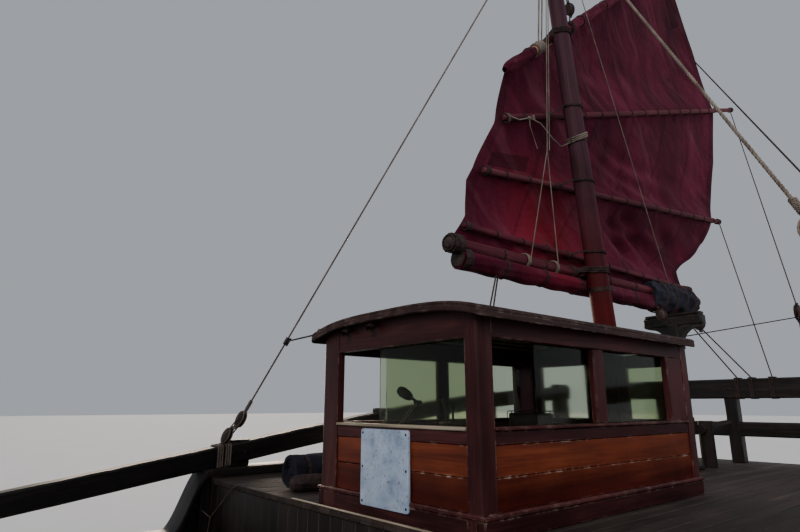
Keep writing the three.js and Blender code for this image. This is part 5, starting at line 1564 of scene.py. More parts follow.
# Rope: three-strand, laid right-handed, hemp-coloured where it is new and tarred nearly black where it
# is old. The lashings lace each sail to its spars.
rope_finish = Finish("hemp_rope", Specular_IOR_Level=0.2)
rope_dirt = rope_finish.noise(rope_finish.place, 6, detail=5)
rope_fibre = rope_finish.noise(rope_finish.place, 320, detail=2)
hemp = rope_finish.ramp(rope_dirt, (0.3, (0.13, 0.1, 0.08)), (0.7, (0.32, 0.265, 0.22)))
rope_finish.colour(rope_finish.mixed(1.0, hemp, rope_finish.ramp(rope_fibre, (0.3, 0.7), (0.7, 1.15)),
                                     "MULTIPLY"))
rope_finish.roughness(rope_fibre, 0.75, 0.95)
rope_finish.relief((rope_fibre, 0.5, 0.0008))
tarred_rope = Finish("tarred_rope", Specular_IOR_Level=0.25)
tar_patch = tarred_rope.noise(tarred_rope.place, 25, detail=5)
tarred_rope.colour(tarred_rope.ramp(tar_patch, (0.35, (0.018, 0.012, 0.012)), (0.7, (0.07, 0.045, 0.04))))
tarred_rope.roughness(tar_patch, 0.5, 0.85)
tarred_rope.relief((tarred_rope.noise(tarred_rope.place, 320, detail=2), 0.5, 0.0008))
strand_lobes = (1.0, 0.97, 0.8) * 3


def resampled(points, step):
    points = [Vector(point) for point in points]
    lengths = np.concatenate([[0], np.cumsum([(b - a).length for a, b in zip(points, points[1:])])])
    spots = np.linspace(0, lengths[-1], max(int(lengths[-1] / step), 2) + 1)
    flat_points = np.array(points)
    columns = [np.interp(spots, lengths, flat_points[:, axis]) for axis in range(3)]
    return [Vector(row) for row in zip(*columns)], spots


def lay_rope(work, points, radius, step=None, loop=False):
    """A laid rope along points, or round them as a loop: its section has three lobes that turn along it."""
    line, spots = resampled([*points, points[0]] if loop else points, step or radius * 1.15)
    if loop:
        line = line[:-1]
    side = (line[1] - line[0]).normalized().orthogonal().normalized()
    rings = []
    for index, point in enumerate(line):
        before = line[index - 1] if loop or index else line[index]
        after = line[(index + 1) % len(line)] if loop or index + 1 < len(line) else line[index]
        along = (after - before).normalized()
        side = (side - along * side.dot(along)).normalized()
        other = along.cross(side)
        turn = spots[index] / (radius * 7) * 2 * math.pi / 3 * 2
        ring = []
        for number, lobe in enumerate(strand_lobes):
            a = turn + number * 2 * math.pi / len(strand_lobes)
            ring.append(point + (side * math.cos(a) + other * math.sin(a)) * radius * lobe)
        rings.append(ring)
    work.sweep(rings, loop=loop)


def wound(work, middle, along, inner, radius, turns, behind=0.0, step=None):
    """Turns of rope round a pole; behind makes room for the cloth on the pole's starboard side."""
    along = Vector(along).normalized()
    side = (Vector((0, 1, 0)) - along * along.y).normalized()
    other = along.cross(side)
    points = []
    count = int(turns * 12)
    for index in range(count + 1):
        a = 2 * math.pi * index / 12 + math.pi / 2
        reach = inner + radius
        offset = side * (math.cos(a) * reach - behind * max(0.0, -math.cos(a))) + other * math.sin(a) * reach
        lift = (index / count - 0.5) * turns * radius * 2.05
        points.append(Vector(middle) + offset + along * lift)
    lay_rope(work, points, radius, step or radius * 2.4)


for rig, cut in sails.items():
    lashings = Joinery(110)
    spars = {spar[0]: spar for spar in cut["spars"]}
    for number, (spar_name, x, z) in enumerate(sail_shapes[rig][3]):
        fore_end, aft_end = spar_line(rig, spars[spar_name])
        along = (aft_end - fore_end).normalized()
        share = ((Vector((x, fore_end.y, z)) - fore_end).dot(along)) / (aft_end - fore_end).length
        spot = fore_end.lerp(aft_end, min(max(share, 0.01), 0.99))
        if rig == "mizzen" and (spar_name == "yard" or spar_name == "boom" and number % 3):
            continue
        size, turns = (0.005, 2) if rig == "mizzen" else (0.009, 2)
        wound(lashings, spot, along, spars[spar_name][3] * 0.99, size, turns, behind=0.012)
    for spar in cut["spars"][1:-1]:
        fore_end, aft_end = spar_line(rig, spar)
        along = (aft_end - fore_end).normalized()
        for spot, turns in ((aft_end - along * 0.07, 6), (fore_end + along * 0.05, 4)):
            wound(lashings, spot, along, spar[3] * 0.97, 0.008, turns)
    lashings.finished(f"{rig}_lashings", f"{rig}_rig", "rope", tarred_rope)
for run in np.arange(roll_start + tie_pitch, roll_end - 0.1, tie_pitch):
    for lift in (-0.009, 0.009):
        ring = roll_ring(float(run + lift), 24)
        centre = sum(ring, Vector()) / len(ring)
        grown = [clear_of_mast(centre.lerp(point, 1.06), masts["mizzen"], 0.02) for point in ring]
        lay_rope(roll_ties, grown, 0.007, 0.016, loop=True)
for run in (0.5, 1.2, 2.1, 3.0, 4.1, 5.4):
    wound(roll_ties, yard_fore + yard_along * run, yard_along, sleeve_radius + 0.006, 0.005, 2)
roll_ties.finished("foot_roll_ties", "mizzen_rig", "rope", tarred_rope)

# Parrels: ropes that hold each spar to its mast, several turns at the boom and yard over a wooden
# chock, and a lighter loop at each mizzen batten, greased so that they slide.
for rig, cut in sails.items():
    mast = masts[rig]
    parrels = Joinery(120)
    chocks = Joinery(121)
    for spar in cut["spars"]:
        heavy = spar[0] in ("boom", "yard")
        if not heavy and rig != "mizzen":
            continue
        fore_end, aft_end = spar_line(rig, spar)
        along = (aft_end - fore_end).normalized()
        slope = (aft_end.z - fore_end.z) / (aft_end.x - fore_end.x)
        z = fore_end.z
        for _ in range(6):
            z = fore_end.z + (mast_axis(mast, z).x - fore_end.x) * slope
        axis = mast_axis(mast, z)
        size = (0.008 if rig == "mizzen" else 0.014) if heavy else 0.006
        turns = 4 if heavy else 2
        reach = mast_radius(mast, z) + size + 0.006
        for turn in range(turns):
            lift = (turn - (turns - 1) / 2) * size * 2.15
            middle = mast_axis(mast, z + lift)
            start = (spar[3] + 0.16) if heavy else 0.2
            path = []
            for end in (1, -1):
                foot = Vector((axis.x + end * start, fore_end.y + size, z + end * start * slope + lift * 0.6))
                near = Vector((middle.x + end * reach, -0.03, middle.z + end * 0.02))
                leg = [foot, foot.lerp(near, 0.5), near]
                path.append(leg if end > 0 else leg[::-1])
            arc = [round_mast(mast, z + lift, reach, a) for a in np.linspace(0.12, math.pi - 0.12, 14)]
            lay_rope(parrels, [*path[0], *arc, *path[1]], size, size * 1.6)
        for end in (1, -1):
            spot = Vector((axis.x + end * start, fore_end.y, z))
            spot.z = fore_end.z + (spot.x - fore_end.x) * slope
            wound(parrels, spot, along, spar[3], size, 4 if heavy else 3, behind=0.014)
        if heavy:
            room = mast_radius(mast, z) + 0.004
            half = spar[3] * 0.8
            rings = []
            for share in np.linspace(-1, 1, 9):
                x = axis.x + share * 2.2 * spar[3]
                hollow = -math.sqrt(max(room ** 2 - (x - axis.x) ** 2, 0.0))
                port_face = min(hollow, fore_end.y + spar[3] + 0.03)
                dz = share * 2.2 * spar[3] * slope
                rings.append([(x, fore_end.y, z - half + dz), (x, port_face, z - half + dz),
                              (x, port_face, z + half + dz), (x, fore_end.y, z + half + dz)])
            chocks.sweep(rings)
    parrels.finished(f"{rig}_parrels", f"{rig}_rig", "rope", tarred_rope)
    chocks.finished(f"{rig}_parrel_chocks", f"{rig}_rig", "spar_wood", spar_finish)


# Blocks: pulleys with two oval elm cheeks and a sheave between them, bound by a rope strop. They stand
# where a shroud's tackle, a halyard or a sheet turns.
def oval(middle, face, long_way, half_long, half_wide, count=20):
    face, long_way = Vector(face).normalized(), Vector(long_way).normalized()
    wide_way = face.cross(long_way)
    return [middle + long_way * math.cos(a) * half_long + wide_way * math.sin(a) * half_wide
            for a in full_turn(count)]


def pulley_block(cheeks, strops, middle, long_way, face, size):
    """size is the block's half length; the rope runs along long_way."""
    middle, face, long_way = Vector(middle), Vector(face).normalized(), Vector(long_way).normalized()
    face = (face - long_way * face.dot(long_way)).normalized()
    for sign in (-1, 1):
        rings = [oval(middle + face * sign * size * out, face, long_way, size * a, size * b)
                 for out, a, b in ((0.1, 0.92, 0.66), (0.12, 1.0, 0.72), (0.3, 0.96, 0.7), (0.4, 0.8, 0.55),
                                   (0.43, 0.5, 0.3))]
        cheeks.sweep(rings)
    turned(cheeks, middle - face * size * 0.1, middle + face * size * 0.1,
           ((0, size * 0.5), (0.5, size * 0.42), (1, size * 0.5)))
    turned(cheeks, middle - face * size * 0.48, middle + face * size * 0.48,
           ((0, size * 0.1), (1, size * 0.1)), 10)
    for out in (-0.24, 0.24):
        ring = oval(middle + face * size * out, face, long_way, size * 1.06, size * 0.78)
        lay_rope(strops, ring, size * 0.09, loop=True)
    for end in (-1, 1):
        wound(strops, middle + long_way * end * size * 1.16, long_way, size * 0.1, size * 0.09, 3)


# Shrouds: each is looped round its mast and ends in a tackle of two blocks, lashed to the rail with many
# turns. They are hemp, darkened by weather.
shroud_foot = {"main": (5.25, 2.56, 1.9), "mizzen": (-3.73, 3.19, 2.0)}
shroud_top = {"main": (3.08, 12.3), "mizzen": (-6.05, 8.56)}
tackle_share = {("main", "port"): 0.12, ("main", "starboard"): 0.12, ("mizzen", "port"): 0.21,
                ("mizzen", "starboard"): 0.06}
elm_finish = wood_finish("oiled_elm", (0.018, 0.01, 0.008), (0.04, 0.021, 0.015), (0.08, 0.042, 0.03),
                         rough=(0.3, 0.6), grain_depth=0.0008)
for rig in ("main", "mizzen"):
    mast = masts[rig]
    for side_name, side in sides:
        ropes, cheeks = Joinery(130), Joinery(131)
        foot = Vector((shroud_foot[rig][0], side * shroud_foot[rig][1], shroud_foot[rig][2]))
        top_z = shroud_top[rig][1]
        hitch = mast_axis(mast, top_z)
        reach = mast_radius(mast, top_z) + 0.02
        leave = hitch + Vector((0.0, side * reach, -0.03))
        along = (foot - leave).normalized()
        upper = foot.lerp(leave, tackle_share[rig, side_name])
        thick = 0.012 if rig == "mizzen" else 0.018
        lay_rope(ropes, [leave, upper], thick, 0.022)
        for lift in (-0.03, 0.0, 0.03):
            ring = [round_mast(mast, top_z + lift, reach, a) for a in full_turn(24)]
            lay_rope(ropes, ring, 0.016, 0.02, loop=True)
        wound(ropes, leave + along * 0.14, along, thick, 0.006, 9)
        wound(ropes, upper - along * 0.16, along, thick, 0.006, 9)
        face = Vector((1, 0, 0)) - along * along.x
        upper_block = upper + along * 0.02
        block_size = 0.085
        rail_top = rail_z(foot.x) + rail_height / 2 if rig == "mizzen" else sheer(foot.x) + cap_thickness
        seat = Vector((foot.x, foot.y, rail_top))
        lower_block = seat - along * 0.12
        pulley_block(cheeks, ropes, upper_block, along, face, block_size)
        pulley_block(cheeks, ropes, lower_block, along, face, block_size)
        span = face.normalized()
        for offset in (-0.04, -0.013, 0.013, 0.04):
            lay_rope(ropes, [upper_block + span * offset, lower_block + span * offset], 0.009, 0.02)
        if rig == "mizzen":
            half_w, half_h = rail_width / 2 + 0.011, rail_height / 2 + 0.011
            for offset in (-0.07, -0.045, -0.02, 0.02, 0.045, 0.07):
                x = foot.x + offset
                y = side * rail_y(x)
                z = rail_z(x)
                around = [(x, y + half_w * a, z + half_h * b)
                          for a, b in ((-1, 0.85), (-1, -0.85), (-0.85, -1), (0.85, -1), (1, -0.85),
                                       (1, 0.85), (0.85, 1), (-0.85, 1))]
                lay_rope(ropes, around, 0.011, 0.02, loop=True)
        for offset in (-0.05, 0.0, 0.05):
            lay_rope(ropes, [lower_block, seat + Vector((offset, 0, -0.03))], 0.011, 0.02)
        cheeks.finished(f"{rig}_tackle_blocks_{side_name}", "ship", "spar_wood", elm_finish)
        shroud = ropes.finished(f"{rig}_shroud_rope_{side_name}", "ship", "rope", rope_finish)
        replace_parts(shroud, f"{rig}_shroud_{side_name}")

# Boom crutch: an oak post through the quarterdeck with a wide head on two curved knees, strapped with
# iron; the lowered boom lies over it.
crutch_x, crutch_y, crutch_half, crutch_neck, crutch_top, crutch_reach = -8.5, -0.07, 0.075, 3.33, 3.7, 0.38
crutch_head_low, crutch_head_top = 3.53, 3.665
crutch = Joinery(140)


def crutch_board(half_x, y_low, y_high, z_low, z_high, rounding):
    crutch.board((crutch_x - half_x, crutch_y + y_low, z_low), (crutch_x + half_x, crutch_y + y_high, z_high),
                 rounding)


crutch_board(crutch_half, -crutch_half, crutch_half, quarter_deck_top, 3.56, 0.014)
for side in (port, starboard):
    rings = []
    for x, inset in ((-0.06, 0.008), (-0.052, 0.0), (0.052, 0.0), (0.06, 0.008)):
        curve = []
        for a in np.linspace(0, math.pi / 2, 9):
            curve.append((crutch_half + (crutch_reach - crutch_half - 0.05) * (1 - math.cos(a)),
                          crutch_neck - 0.06 + (3.52 - crutch_neck + 0.06) * math.sin(a)))
        curve += [(crutch_reach - 0.05, 3.55), (crutch_half - 0.02, 3.55),
                  (crutch_half - 0.02, crutch_neck - 0.06)]
        middle = (crutch_half + 0.1, 3.45)
        rings.append([(crutch_x + x, crutch_y + side * (y + (middle[0] - y) * inset * 4),
                       z + (middle[1] - z) * inset * 4) for y, z in curve])
    crutch.sweep(rings)
    crutch_board(0.05, *to_side(side, crutch_reach - 0.01, crutch_reach - 0.07), 3.66, crutch_top, 0.012)
crutch_board(0.075, -crutch_reach, crutch_reach, crutch_head_low, crutch_head_top, 0.02)
crutch_board(0.079, -crutch_reach + 0.03, crutch_reach - 0.03, 3.66, crutch_top, 0.012)
crutch_board(0.13, -0.13, 0.13, quarter_deck_top, quarter_deck_top + 0.05, 0.014)
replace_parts(crutch.finished("boom_crutch_timber", "ship", "rail_timber", rail_finish), "boom_crutch")
straps = Joinery(141)
for z in (3.27, 2.35):
    straps.board((crutch_x - crutch_half - 0.006, crutch_y - crutch_half - 0.006, z - 0.03),
                 (crutch_x + crutch_half + 0.006, crutch_y + crutch_half + 0.006, z + 0.03), 0.002)
for y in (-0.27, 0.0, 0.27):
    for face in (-1, 1):
        dome(straps, (crutch_x + face * 0.075, crutch_y + y, 3.6), (face, 0, 0), 0.018, 0.008)
straps.finished("crutch_straps", "ship", "bronze", iron_finish)

# Boom cover: old blue-grey canvas folded in several layers over the after end of the boom and strapped
# down, to save it from chafe. It swings with the boom.
cover = Joinery(142)
cover_start, cover_end = 3.66, 4.95
rings = []
for run in np.linspace(cover_start, cover_end, 60):
    share = (run - cover_start) / (cover_end - cover_start)
    swell = 0.75 + 0.25 * math.sin(math.pi * share) + 0.05 * math.sin(run * 19)
    middle = boom_fore + boom_along * float(run) + Vector((0, 0.0, -0.03))
    ring = []
    for a in full_turn(44):
        flap = 0.05 * max(0.0, -math.sin(a)) * (1 + 0.5 * math.sin(run * 23))
        fold = 0.011 * math.sin(6 * a + run * 7) + 0.007 * math.sin(13 * a - run * 15)
        y, z = math.cos(a) * (0.155 * swell + fold), math.sin(a) * (0.19 * swell + fold) - flap
        ring.append(middle + Vector((0, y, max(z, -0.225))))
    rings.append(ring)
cover.sweep(ends_tucked(rings, boom_along * 0.05, ((0.35, 1.0), (0.7, 0.4), (0.93, 0.0))))
boom_cover = cover.finished("boom_end_cover", "mizzen_rig", "awning_canvas", canvas_finish, crease=75)

# Sheet blocks: two big elm blocks hung by rope from the boom's after end and a smaller one at the
# crutch, and the turns of rope that hold the cover and bind the boom's fore end.
cover_ties, sheet_blocks, sheet_ties = Joinery(143), Joinery(144), Joinery(145)
for run in (3.85, 4.15, 4.45, 4.72):
    spot = boom_fore + boom_along * run + Vector((0, 0, -0.04))
    points = [spot + Vector((0, 0.178 * math.cos(a), 0.2 * math.sin(a) - 0.03 * max(0.0, -math.sin(a))))
              for a in full_turn(26)]
    for shift in (-0.012, 0.012):
        moved = [point + boom_along * shift for point in points]
        lay_rope(cover_ties, moved, 0.01, 0.02, loop=True)
end_wraps = Joinery(146)
for layer, turns in ((0.0, 8), (0.017, 6)):
    wound(end_wraps, boom_fore + boom_along * 0.06, boom_along, 0.061 + layer, 0.01, turns)
turned(end_wraps, boom_fore - boom_along * 0.03, boom_fore + boom_along * 0.02,
       ((0, 0.025), (0.2, 0.05), (0.6, 0.062), (1, 0.06)), 24)
roll_front = boom_fore + boom_along * (roll_start - 0.012) + Vector((0, -0.01, -0.124))
turned(end_wraps, roll_front, roll_front + boom_along * 0.02, ((0, 0.05), (0.3, 0.078), (1, 0.082)), 24)
wound(end_wraps, roll_front + boom_along * 0.07, boom_along, 0.094, 0.008, 6)
end_wraps.finished("boom_end_wraps", "mizzen_rig", "rope", tarred_rope)
cover_ties.finished("boom_cover_ties", "mizzen_rig", "rope", tarred_rope)
# Each block: how far along the boom it hangs, how far below, to port, its half length
for run, drop, aside, size in ((4.99, 0.3, 0.05, 0.11), (5.06, 0.22, -0.12, 0.09), (3.72, 0.33, 0.12, 0.075)):
    hang = boom_fore + boom_along * run
    middle = hang + Vector((0, aside, -drop))
    pulley_block(sheet_blocks, sheet_ties, middle, middle - hang, (1, 0.2, 0), size)
    block_top = middle + (hang - middle).normalized() * size
    lay_rope(sheet_ties, [hang + Vector((0, aside * 0.2, -0.05)), block_top], 0.012, 0.02)
    wound(sheet_ties, hang, boom_along, 0.063, 0.011, 4)
sheet_blocks.finished("sheet_blocks", "mizzen_rig", "spar_wood", elm_finish)
sheet_ties.finished("sheet_block_strops", "mizzen_rig", "rope", tarred_rope)

# Standing lines of the mizzen sail: lifts from the masthead that hold the boom up, one pair ahead of the
# mast and one to the boom's after end, and the halyard with its block on the yard.
lifts = Joinery(150)
masthead = mast_axis(masts["mizzen"], 8.8)
mast_face = mast_radius(masts["mizzen"], 8.8) + 0.012
fore_hitch = masthead + Vector((0.02, mast_face, 0))
split = Vector((-5.82, -0.02, 5.23))
boom_port = boom_fore.y + 0.075
lift_radius = 0.0065
lay_rope(lifts, [fore_hitch, split], lift_radius, 0.02)
lay_rope(lifts, [fore_hitch + Vector((-0.03, 0, 0)), split + Vector((-0.04, 0, 0))], lift_radius, 0.02)
for x in (-5.53, -6.02):
    lay_rope(lifts, [split, Vector((x, boom_port, 3.93))], lift_radius, 0.02)
    hitch = boom_fore.lerp(boom_aft, (boom_fore.x - x) / (boom_fore.x - boom_aft.x))
    wound(lifts, hitch, boom_along, 0.064, 0.008, 3)
after_hitch = masthead + Vector((-0.05, mast_face, -0.02))
lay_rope(lifts, [after_hitch, Vector((-8.6, boom_port, 4.12))], lift_radius, 0.02)
sling = yard_fore + yard_along * 0.75
lay_rope(lifts, [sling + Vector((0, 0.02, 0.05)), masthead + Vector((0.03, 0.03, 0.03))], 0.011, 0.02)
lay_rope(lifts, [sling + Vector((-0.06, 0.02, 0.05)), masthead + Vector((-0.03, 0.03, 0.03))], 0.011, 0.02)
wound(lifts, sling, yard_along, 0.059, 0.012, 7)
batten_fore, batten_aft = spar_line("mizzen", sails["mizzen"]["spars"][3])
batten_along = (batten_aft - batten_fore).normalized()
knot = batten_fore + batten_along * 0.42 + Vector((0, 0.055, -0.03))
drooping = [batten_fore + batten_along * 0.05 + Vector((0, 0.05, 0)),
            batten_fore + batten_along * 0.22 + Vector((0, 0.055, -0.05)), knot,
            knot + Vector((-0.16, 0.03, -0.03)), Vector((-6.05, -0.09, 5.46)), Vector((-6.22, -0.1, 5.42)),
            Vector((-6.31, -0.03, 5.47))]
lay_rope(lifts, drooping, 0.008, 0.014)
wound(lifts, batten_fore + batten_along * 0.05, batten_along, 0.038, 0.008, 3)
wound(lifts, knot, (1, 0, -0.3), 0.004, 0.009, 3)
wound(lifts, knot + Vector((-0.05, 0.012, 0.01)), (0.3, 0.2, 1), 0.004, 0.009, 3)
lay_rope(lifts, [knot, knot + Vector((0.03, 0.02, -0.12)), knot + Vector((-0.08, 0.02, -0.36))], 0.005, 0.014)
for lift in (0.0, 0.022, 0.045):
    ring = []
    for a in full_turn(30):
        z = 5.52 + lift - 0.06 * math.cos(a)
        ring.append(round_mast(masts["mizzen"], z, mast_radius(masts["mizzen"], z) + 0.012, a))
    lay_rope(lifts, ring, 0.011, 0.018, loop=True)
lifts.finished("mizzen_lifts", "mizzen_rig", "rope", rope_finish)
halyard_cheeks, halyard_ropes = Joinery(151), Joinery(152)
yard_spot = yard_fore + yard_along * 1.7
block_spot = yard_spot + Vector((0.03, 0.06, 0.24))
pulley_block(halyard_cheeks, halyard_ropes, block_spot, (0.25, -0.02, 1), (1, 0, 0), 0.075)
lay_rope(halyard_ropes, [yard_spot + Vector((0, 0.03, 0.05)), block_spot], 0.011, 0.02)
wound(halyard_ropes, yard_spot, yard_along, 0.071, 0.01, 4)
for shift in (-0.02, 0.02):
    fall_top = masthead + Vector((shift - 0.06, 0.02, -0.1))
    lay_rope(halyard_ropes, [block_spot + Vector((shift, 0, 0)), fall_top], 0.008, 0.02)
halyard_cheeks.finished("halyard_block", "mizzen_rig", "spar_wood", elm_finish)
halyard_ropes.finished("halyard_falls", "mizzen_rig", "rope", tarred_rope)

# Sheets and tacks: ropes from the ship to the swinging mizzen sail. Two sheetlets lead from the battens
# to a block made fast at the stern rail, two sheets from the boom to the same rail, a vang from the leech
# to the port rail, and a double tack from the boom to an eyebolt in the wheelhouse roof.
batten_ends = {spar[0]: spar_line("mizzen", spar)[1] for spar in sails["mizzen"]["spars"]}
rail_block = Vector((stern_rail_x, 0.97, 3.84))
tack_eye = Vector((-4.86, -0.15, roof_top(-0.15)))
vang_foot = Vector((-5.3, rail_y(-5.3), rail_z(-5.3) + rail_height / 2))
# Each rope: name, its end on the ship, its end on the sail, radius
ship_ropes = (("batten_3_sheetlet", rail_block, batten_ends["batten_3"] + Vector((0.18, 0.03, -0.08)), 0.009),
              ("batten_2_sheetlet", Vector((stern_rail_x, 0.55, stern_bar_top)),
               batten_ends["batten_2"] + Vector((0.1, 0.03, -0.03)), 0.009),
              ("port_sheet", Vector((stern_rail_x, 0.3, stern_bar_top)),
               boom_fore + boom_along * 4.99 + Vector((0, 0.05, -0.36)), 0.011),
              ("starboard_sheet", Vector((stern_rail_x, 0.12, stern_bar_top)),
               boom_fore + boom_along * 5.06 + Vector((0, -0.12, -0.28)), 0.011),
              ("leech_vang", vang_foot, Vector((-11.06, -0.25, 8.72)), 0.011),
              ("boom_tack_fore", tack_eye, boom_fore + boom_along * 0.66 + Vector((0, 0.02, -0.06)), 0.009),
              ("boom_tack_aft", tack_eye + Vector((-0.04, 0.02, 0)),
               boom_fore + boom_along * 0.72 + Vector((0, -0.02, -0.06)), 0.009))
for number, (name, low, high, radius) in enumerate(ship_ropes):
    rope = Joinery(160 + number)
    lay_rope(rope, [low, high], radius, 0.022)
    line = rope.finished(name, None, "rope", tarred_rope)
    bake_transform(line)
fittings, guy_ropes = Joinery(170), Joinery(171)
pulley_block(fittings, guy_ropes, rail_block - Vector((0, 0.0, 0.1)), (0, 0, 1), (0, 1, 0), 0.09)


def squared_turn(work, middle, across, up, radius):
    """A turn of rope round a squared timber; across and up reach from its middle to the rope's centre."""
    around = [middle + across * a + up * b for a, b in
              ((-1, 0.9), (-1, -0.9), (-0.85, -1), (0.85, -1), (1, -0.9), (1, 0.9), (0.85, 1), (-0.85, 1))]
    lay_rope(work, around, radius, 0.02, loop=True)


stern_across, stern_up = Vector((0.101, 0, 0)), Vector((0, 0, 0.14))
for y in (0.1, 0.12, 0.14, 0.28, 0.3, 0.32, 0.53, 0.55, 0.57, 0.96, 0.98, 1.0, 1.02):
    squared_turn(guy_ropes, Vector((stern_rail_x, y, 2.76)), stern_across, stern_up, 0.01)
lay_rope(guy_ropes, [rail_block - Vector((0, 0, 0.2)), Vector((stern_rail_x, 0.99, stern_bar_top))], 0.011,
         0.02)
guy_end = Vector((crutch_x - crutch_half - 0.012, crutch_y + 0.02, 3.4))
lay_rope(guy_ropes, [rail_block - Vector((0, 0, 0.16)), guy_end], 0.008, 0.02)
for x in (-5.33, -5.31, -5.29, -5.27):
    squared_turn(guy_ropes, Vector((x, rail_y(x), rail_z(x))), Vector((0, rail_width / 2 + 0.009, 0)),
                 Vector((0, 0, rail_height / 2 + 0.009)), 0.009)
shroud_low, shroud_high = Vector((-3.73, -3.19, 2.0)), Vector((-6.05, 0, 8.56))
guy = shroud_low.lerp(shroud_high, 0.19)
roof_corner = Vector((house_front + roof_overhang - 0.06, -roof_half + 0.07, roof_top(0.89) - 0.02))
lay_rope(guy_ropes, [guy, roof_corner], 0.009, 0.02)
wound(guy_ropes, guy, shroud_high - shroud_low, 0.018, 0.009, 5)
guy_ropes.finished("rail_hitches", "ship", "rope", tarred_rope)
fittings.finished("rail_sheet_block", "ship", "spar_wood", elm_finish)
side_ropes = Joinery(173)
corner = Vector((break_x + 0.05, -2.92, 1.38))
lay_rope(side_ropes, [(break_x + 0.045, -2.3, quarter_deck_top + 0.01), (break_x + 0.05, -2.42, 1.72), corner,
                      (break_x + 0.05, -3.02, waist_deck_top + 0.03)], 0.006, 0.02)
lay_rope(side_ropes, [(-3.46, -3.19, 1.5), corner], 0.006, 0.02)
side_ropes.finished("break_side_ropes", "ship", "rope", rope_finish)
eyebolts = Joinery(172)


def metal_ring(work, centre, one_way, other_way, axis, radius, thick, count):
    """A round bar of radius thick, bent to a ring round centre in the plane of the two ways."""
    one_way, other_way, axis = Vector(one_way), Vector(other_way), Vector(axis)
    rings = []
    for a in full_turn(count):
        out = one_way * math.cos(a) + other_way * math.sin(a)
        rings.append([centre + out * (radius + thick * math.cos(b)) + axis * (thick * math.sin(b))
                      for b in full_turn(8)])
    work.sweep(rings, loop=True)


for spot in (tack_eye, roof_corner, guy_end):
    metal_ring(eyebolts, spot + Vector((0, 0, 0.016)), (1, 0, 0), (0, 0, 1), (0, 1, 0), 0.022, 0.006, 16)
    turned(eyebolts, spot - Vector((0, 0, 0.012)), spot + Vector((0, 0, 0.004)),
           ((0, 0.024), (0.7, 0.024), (1, 0.016)), 12)
eyebolts.finished("roof_eyebolts", "ship", "bronze", iron_finish)

# Rolled awning: a dark blue canvas awning, rolled up and tied, stowed on the deck beside the wheelhouse,
# with a rope fender lying against it.
awning_x, awning_y, awning_radius = (-5.45, -3.82), -1.79, 0.165
awning_z = quarter_deck_top + awning_radius * 0.97
awning = Joinery(180)
awning_ties = Joinery(181)
rings = []
tie_spots = np.linspace(awning_x[0] + 0.18, awning_x[1] - 0.16, 4)
for x in np.linspace(awning_x[0] + 0.01, awning_x[1] - 0.01, 90):
    pinch = 0.022 * sum(math.exp(-((x - tie) / 0.035) ** 2) for tie in tie_spots)
    ring = []
    for a in full_turn(40):
        spiral = 0.011 * ((a / (2 * math.pi) + 0.15 * x) % 1.0)
        fold = 0.005 * math.sin(3 * a + 4 * x) + 0.003 * math.sin(8 * a - 9 * x)
        radius = awning_radius * 0.93 - pinch - spiral + fold
        ring.append((x, awning_y + radius * math.cos(a),
                     max(awning_z + radius * math.sin(a), quarter_deck_top + 0.002)))
    rings.append(ring)
roll_steps = ((0.12, 0), (0.3, 1), (0.34, 0), (0.5, 1), (0.54, 0), (0.7, 1), (0.74, 0), (0.9, 0))
roll_centres = [Vector((rings[end][0][0], awning_y, awning_z)) for end in (0, -1)]
awning.sweep(ends_tucked(rings, Vector((0.018, 0, 0)), roll_steps, roll_centres))
awning_roll = awning.finished("awning_roll", "ship", "awning_canvas", canvas_finish, crease=70)
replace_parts(awning_roll, "rolled_awning")
for tie in tie_spots:
    for shift in (-0.014, 0.0, 0.014):
        around = [(tie + shift, awning_y + 0.141 * math.cos(a),
                   max(awning_z + 0.141 * math.sin(a), quarter_deck_top + 0.009)) for a in full_turn(24)]
        lay_rope(awning_ties, around, 0.007, 0.016, loop=True)
fender_end = Vector((-3.72, -1.56, quarter_deck_top + 0.075))
turned(awning_ties, fender_end + Vector((-0.36, 0.05, 0)), fender_end,
       ((0, 0.02), (0.04, 0.05), (0.15, 0.068), (0.5, 0.073), (0.85, 0.068), (0.96, 0.05), (1, 0.02)), 16)
for share in np.linspace(0.06, 0.94, 18):
    spot = fender_end + Vector((-0.36, 0.05, 0)) * (1 - float(share))
    bulge = 0.073 - 0.03 * abs(2 * share - 1) ** 4
    ring = [spot + Vector((0, math.cos(a) * bulge, math.sin(a) * bulge)) for a in full_turn(16)]
    lay_rope(awning_ties, ring, 0.009, 0.02, loop=True)
awning_ties.finished("awning_ties_and_fender", "ship", "rope", tarred_rope)

# Helm cushions: two foam pads under dark leather, a seat and a back, blown up against their seams, with
# piping round the edges.
leather_finish = Finish("dark_leather", Coat_Weight=0.15, Coat_Roughness=0.4)
leather_worn = leather_finish.noise(leather_finish.place, 7, detail=6, rough=0.65)
leather_grain = leather_finish.node("TexVoronoi", leather_finish.place)
leather_grain.inputs["Scale"].default_value = 260
leather_finish.colour(leather_finish.ramp(leather_worn, (0.35, (0.018, 0.013, 0.013)),
                                          (0.7, (0.065, 0.042, 0.036))))
leather_finish.roughness(leather_worn, 0.38, 0.62)
leather_finish.relief((leather_worn, 0.25, 0.004), (leather_grain.outputs["Distance"], 0.35, 0.0006))
cushion_boxes = (((-5.283, -0.25, 1.664), (-4.797, 0.25, 1.772)),
                 ((-5.284, -0.244, 1.79), (-5.198, 0.244, 2.482)))
pad_swell = 0.012


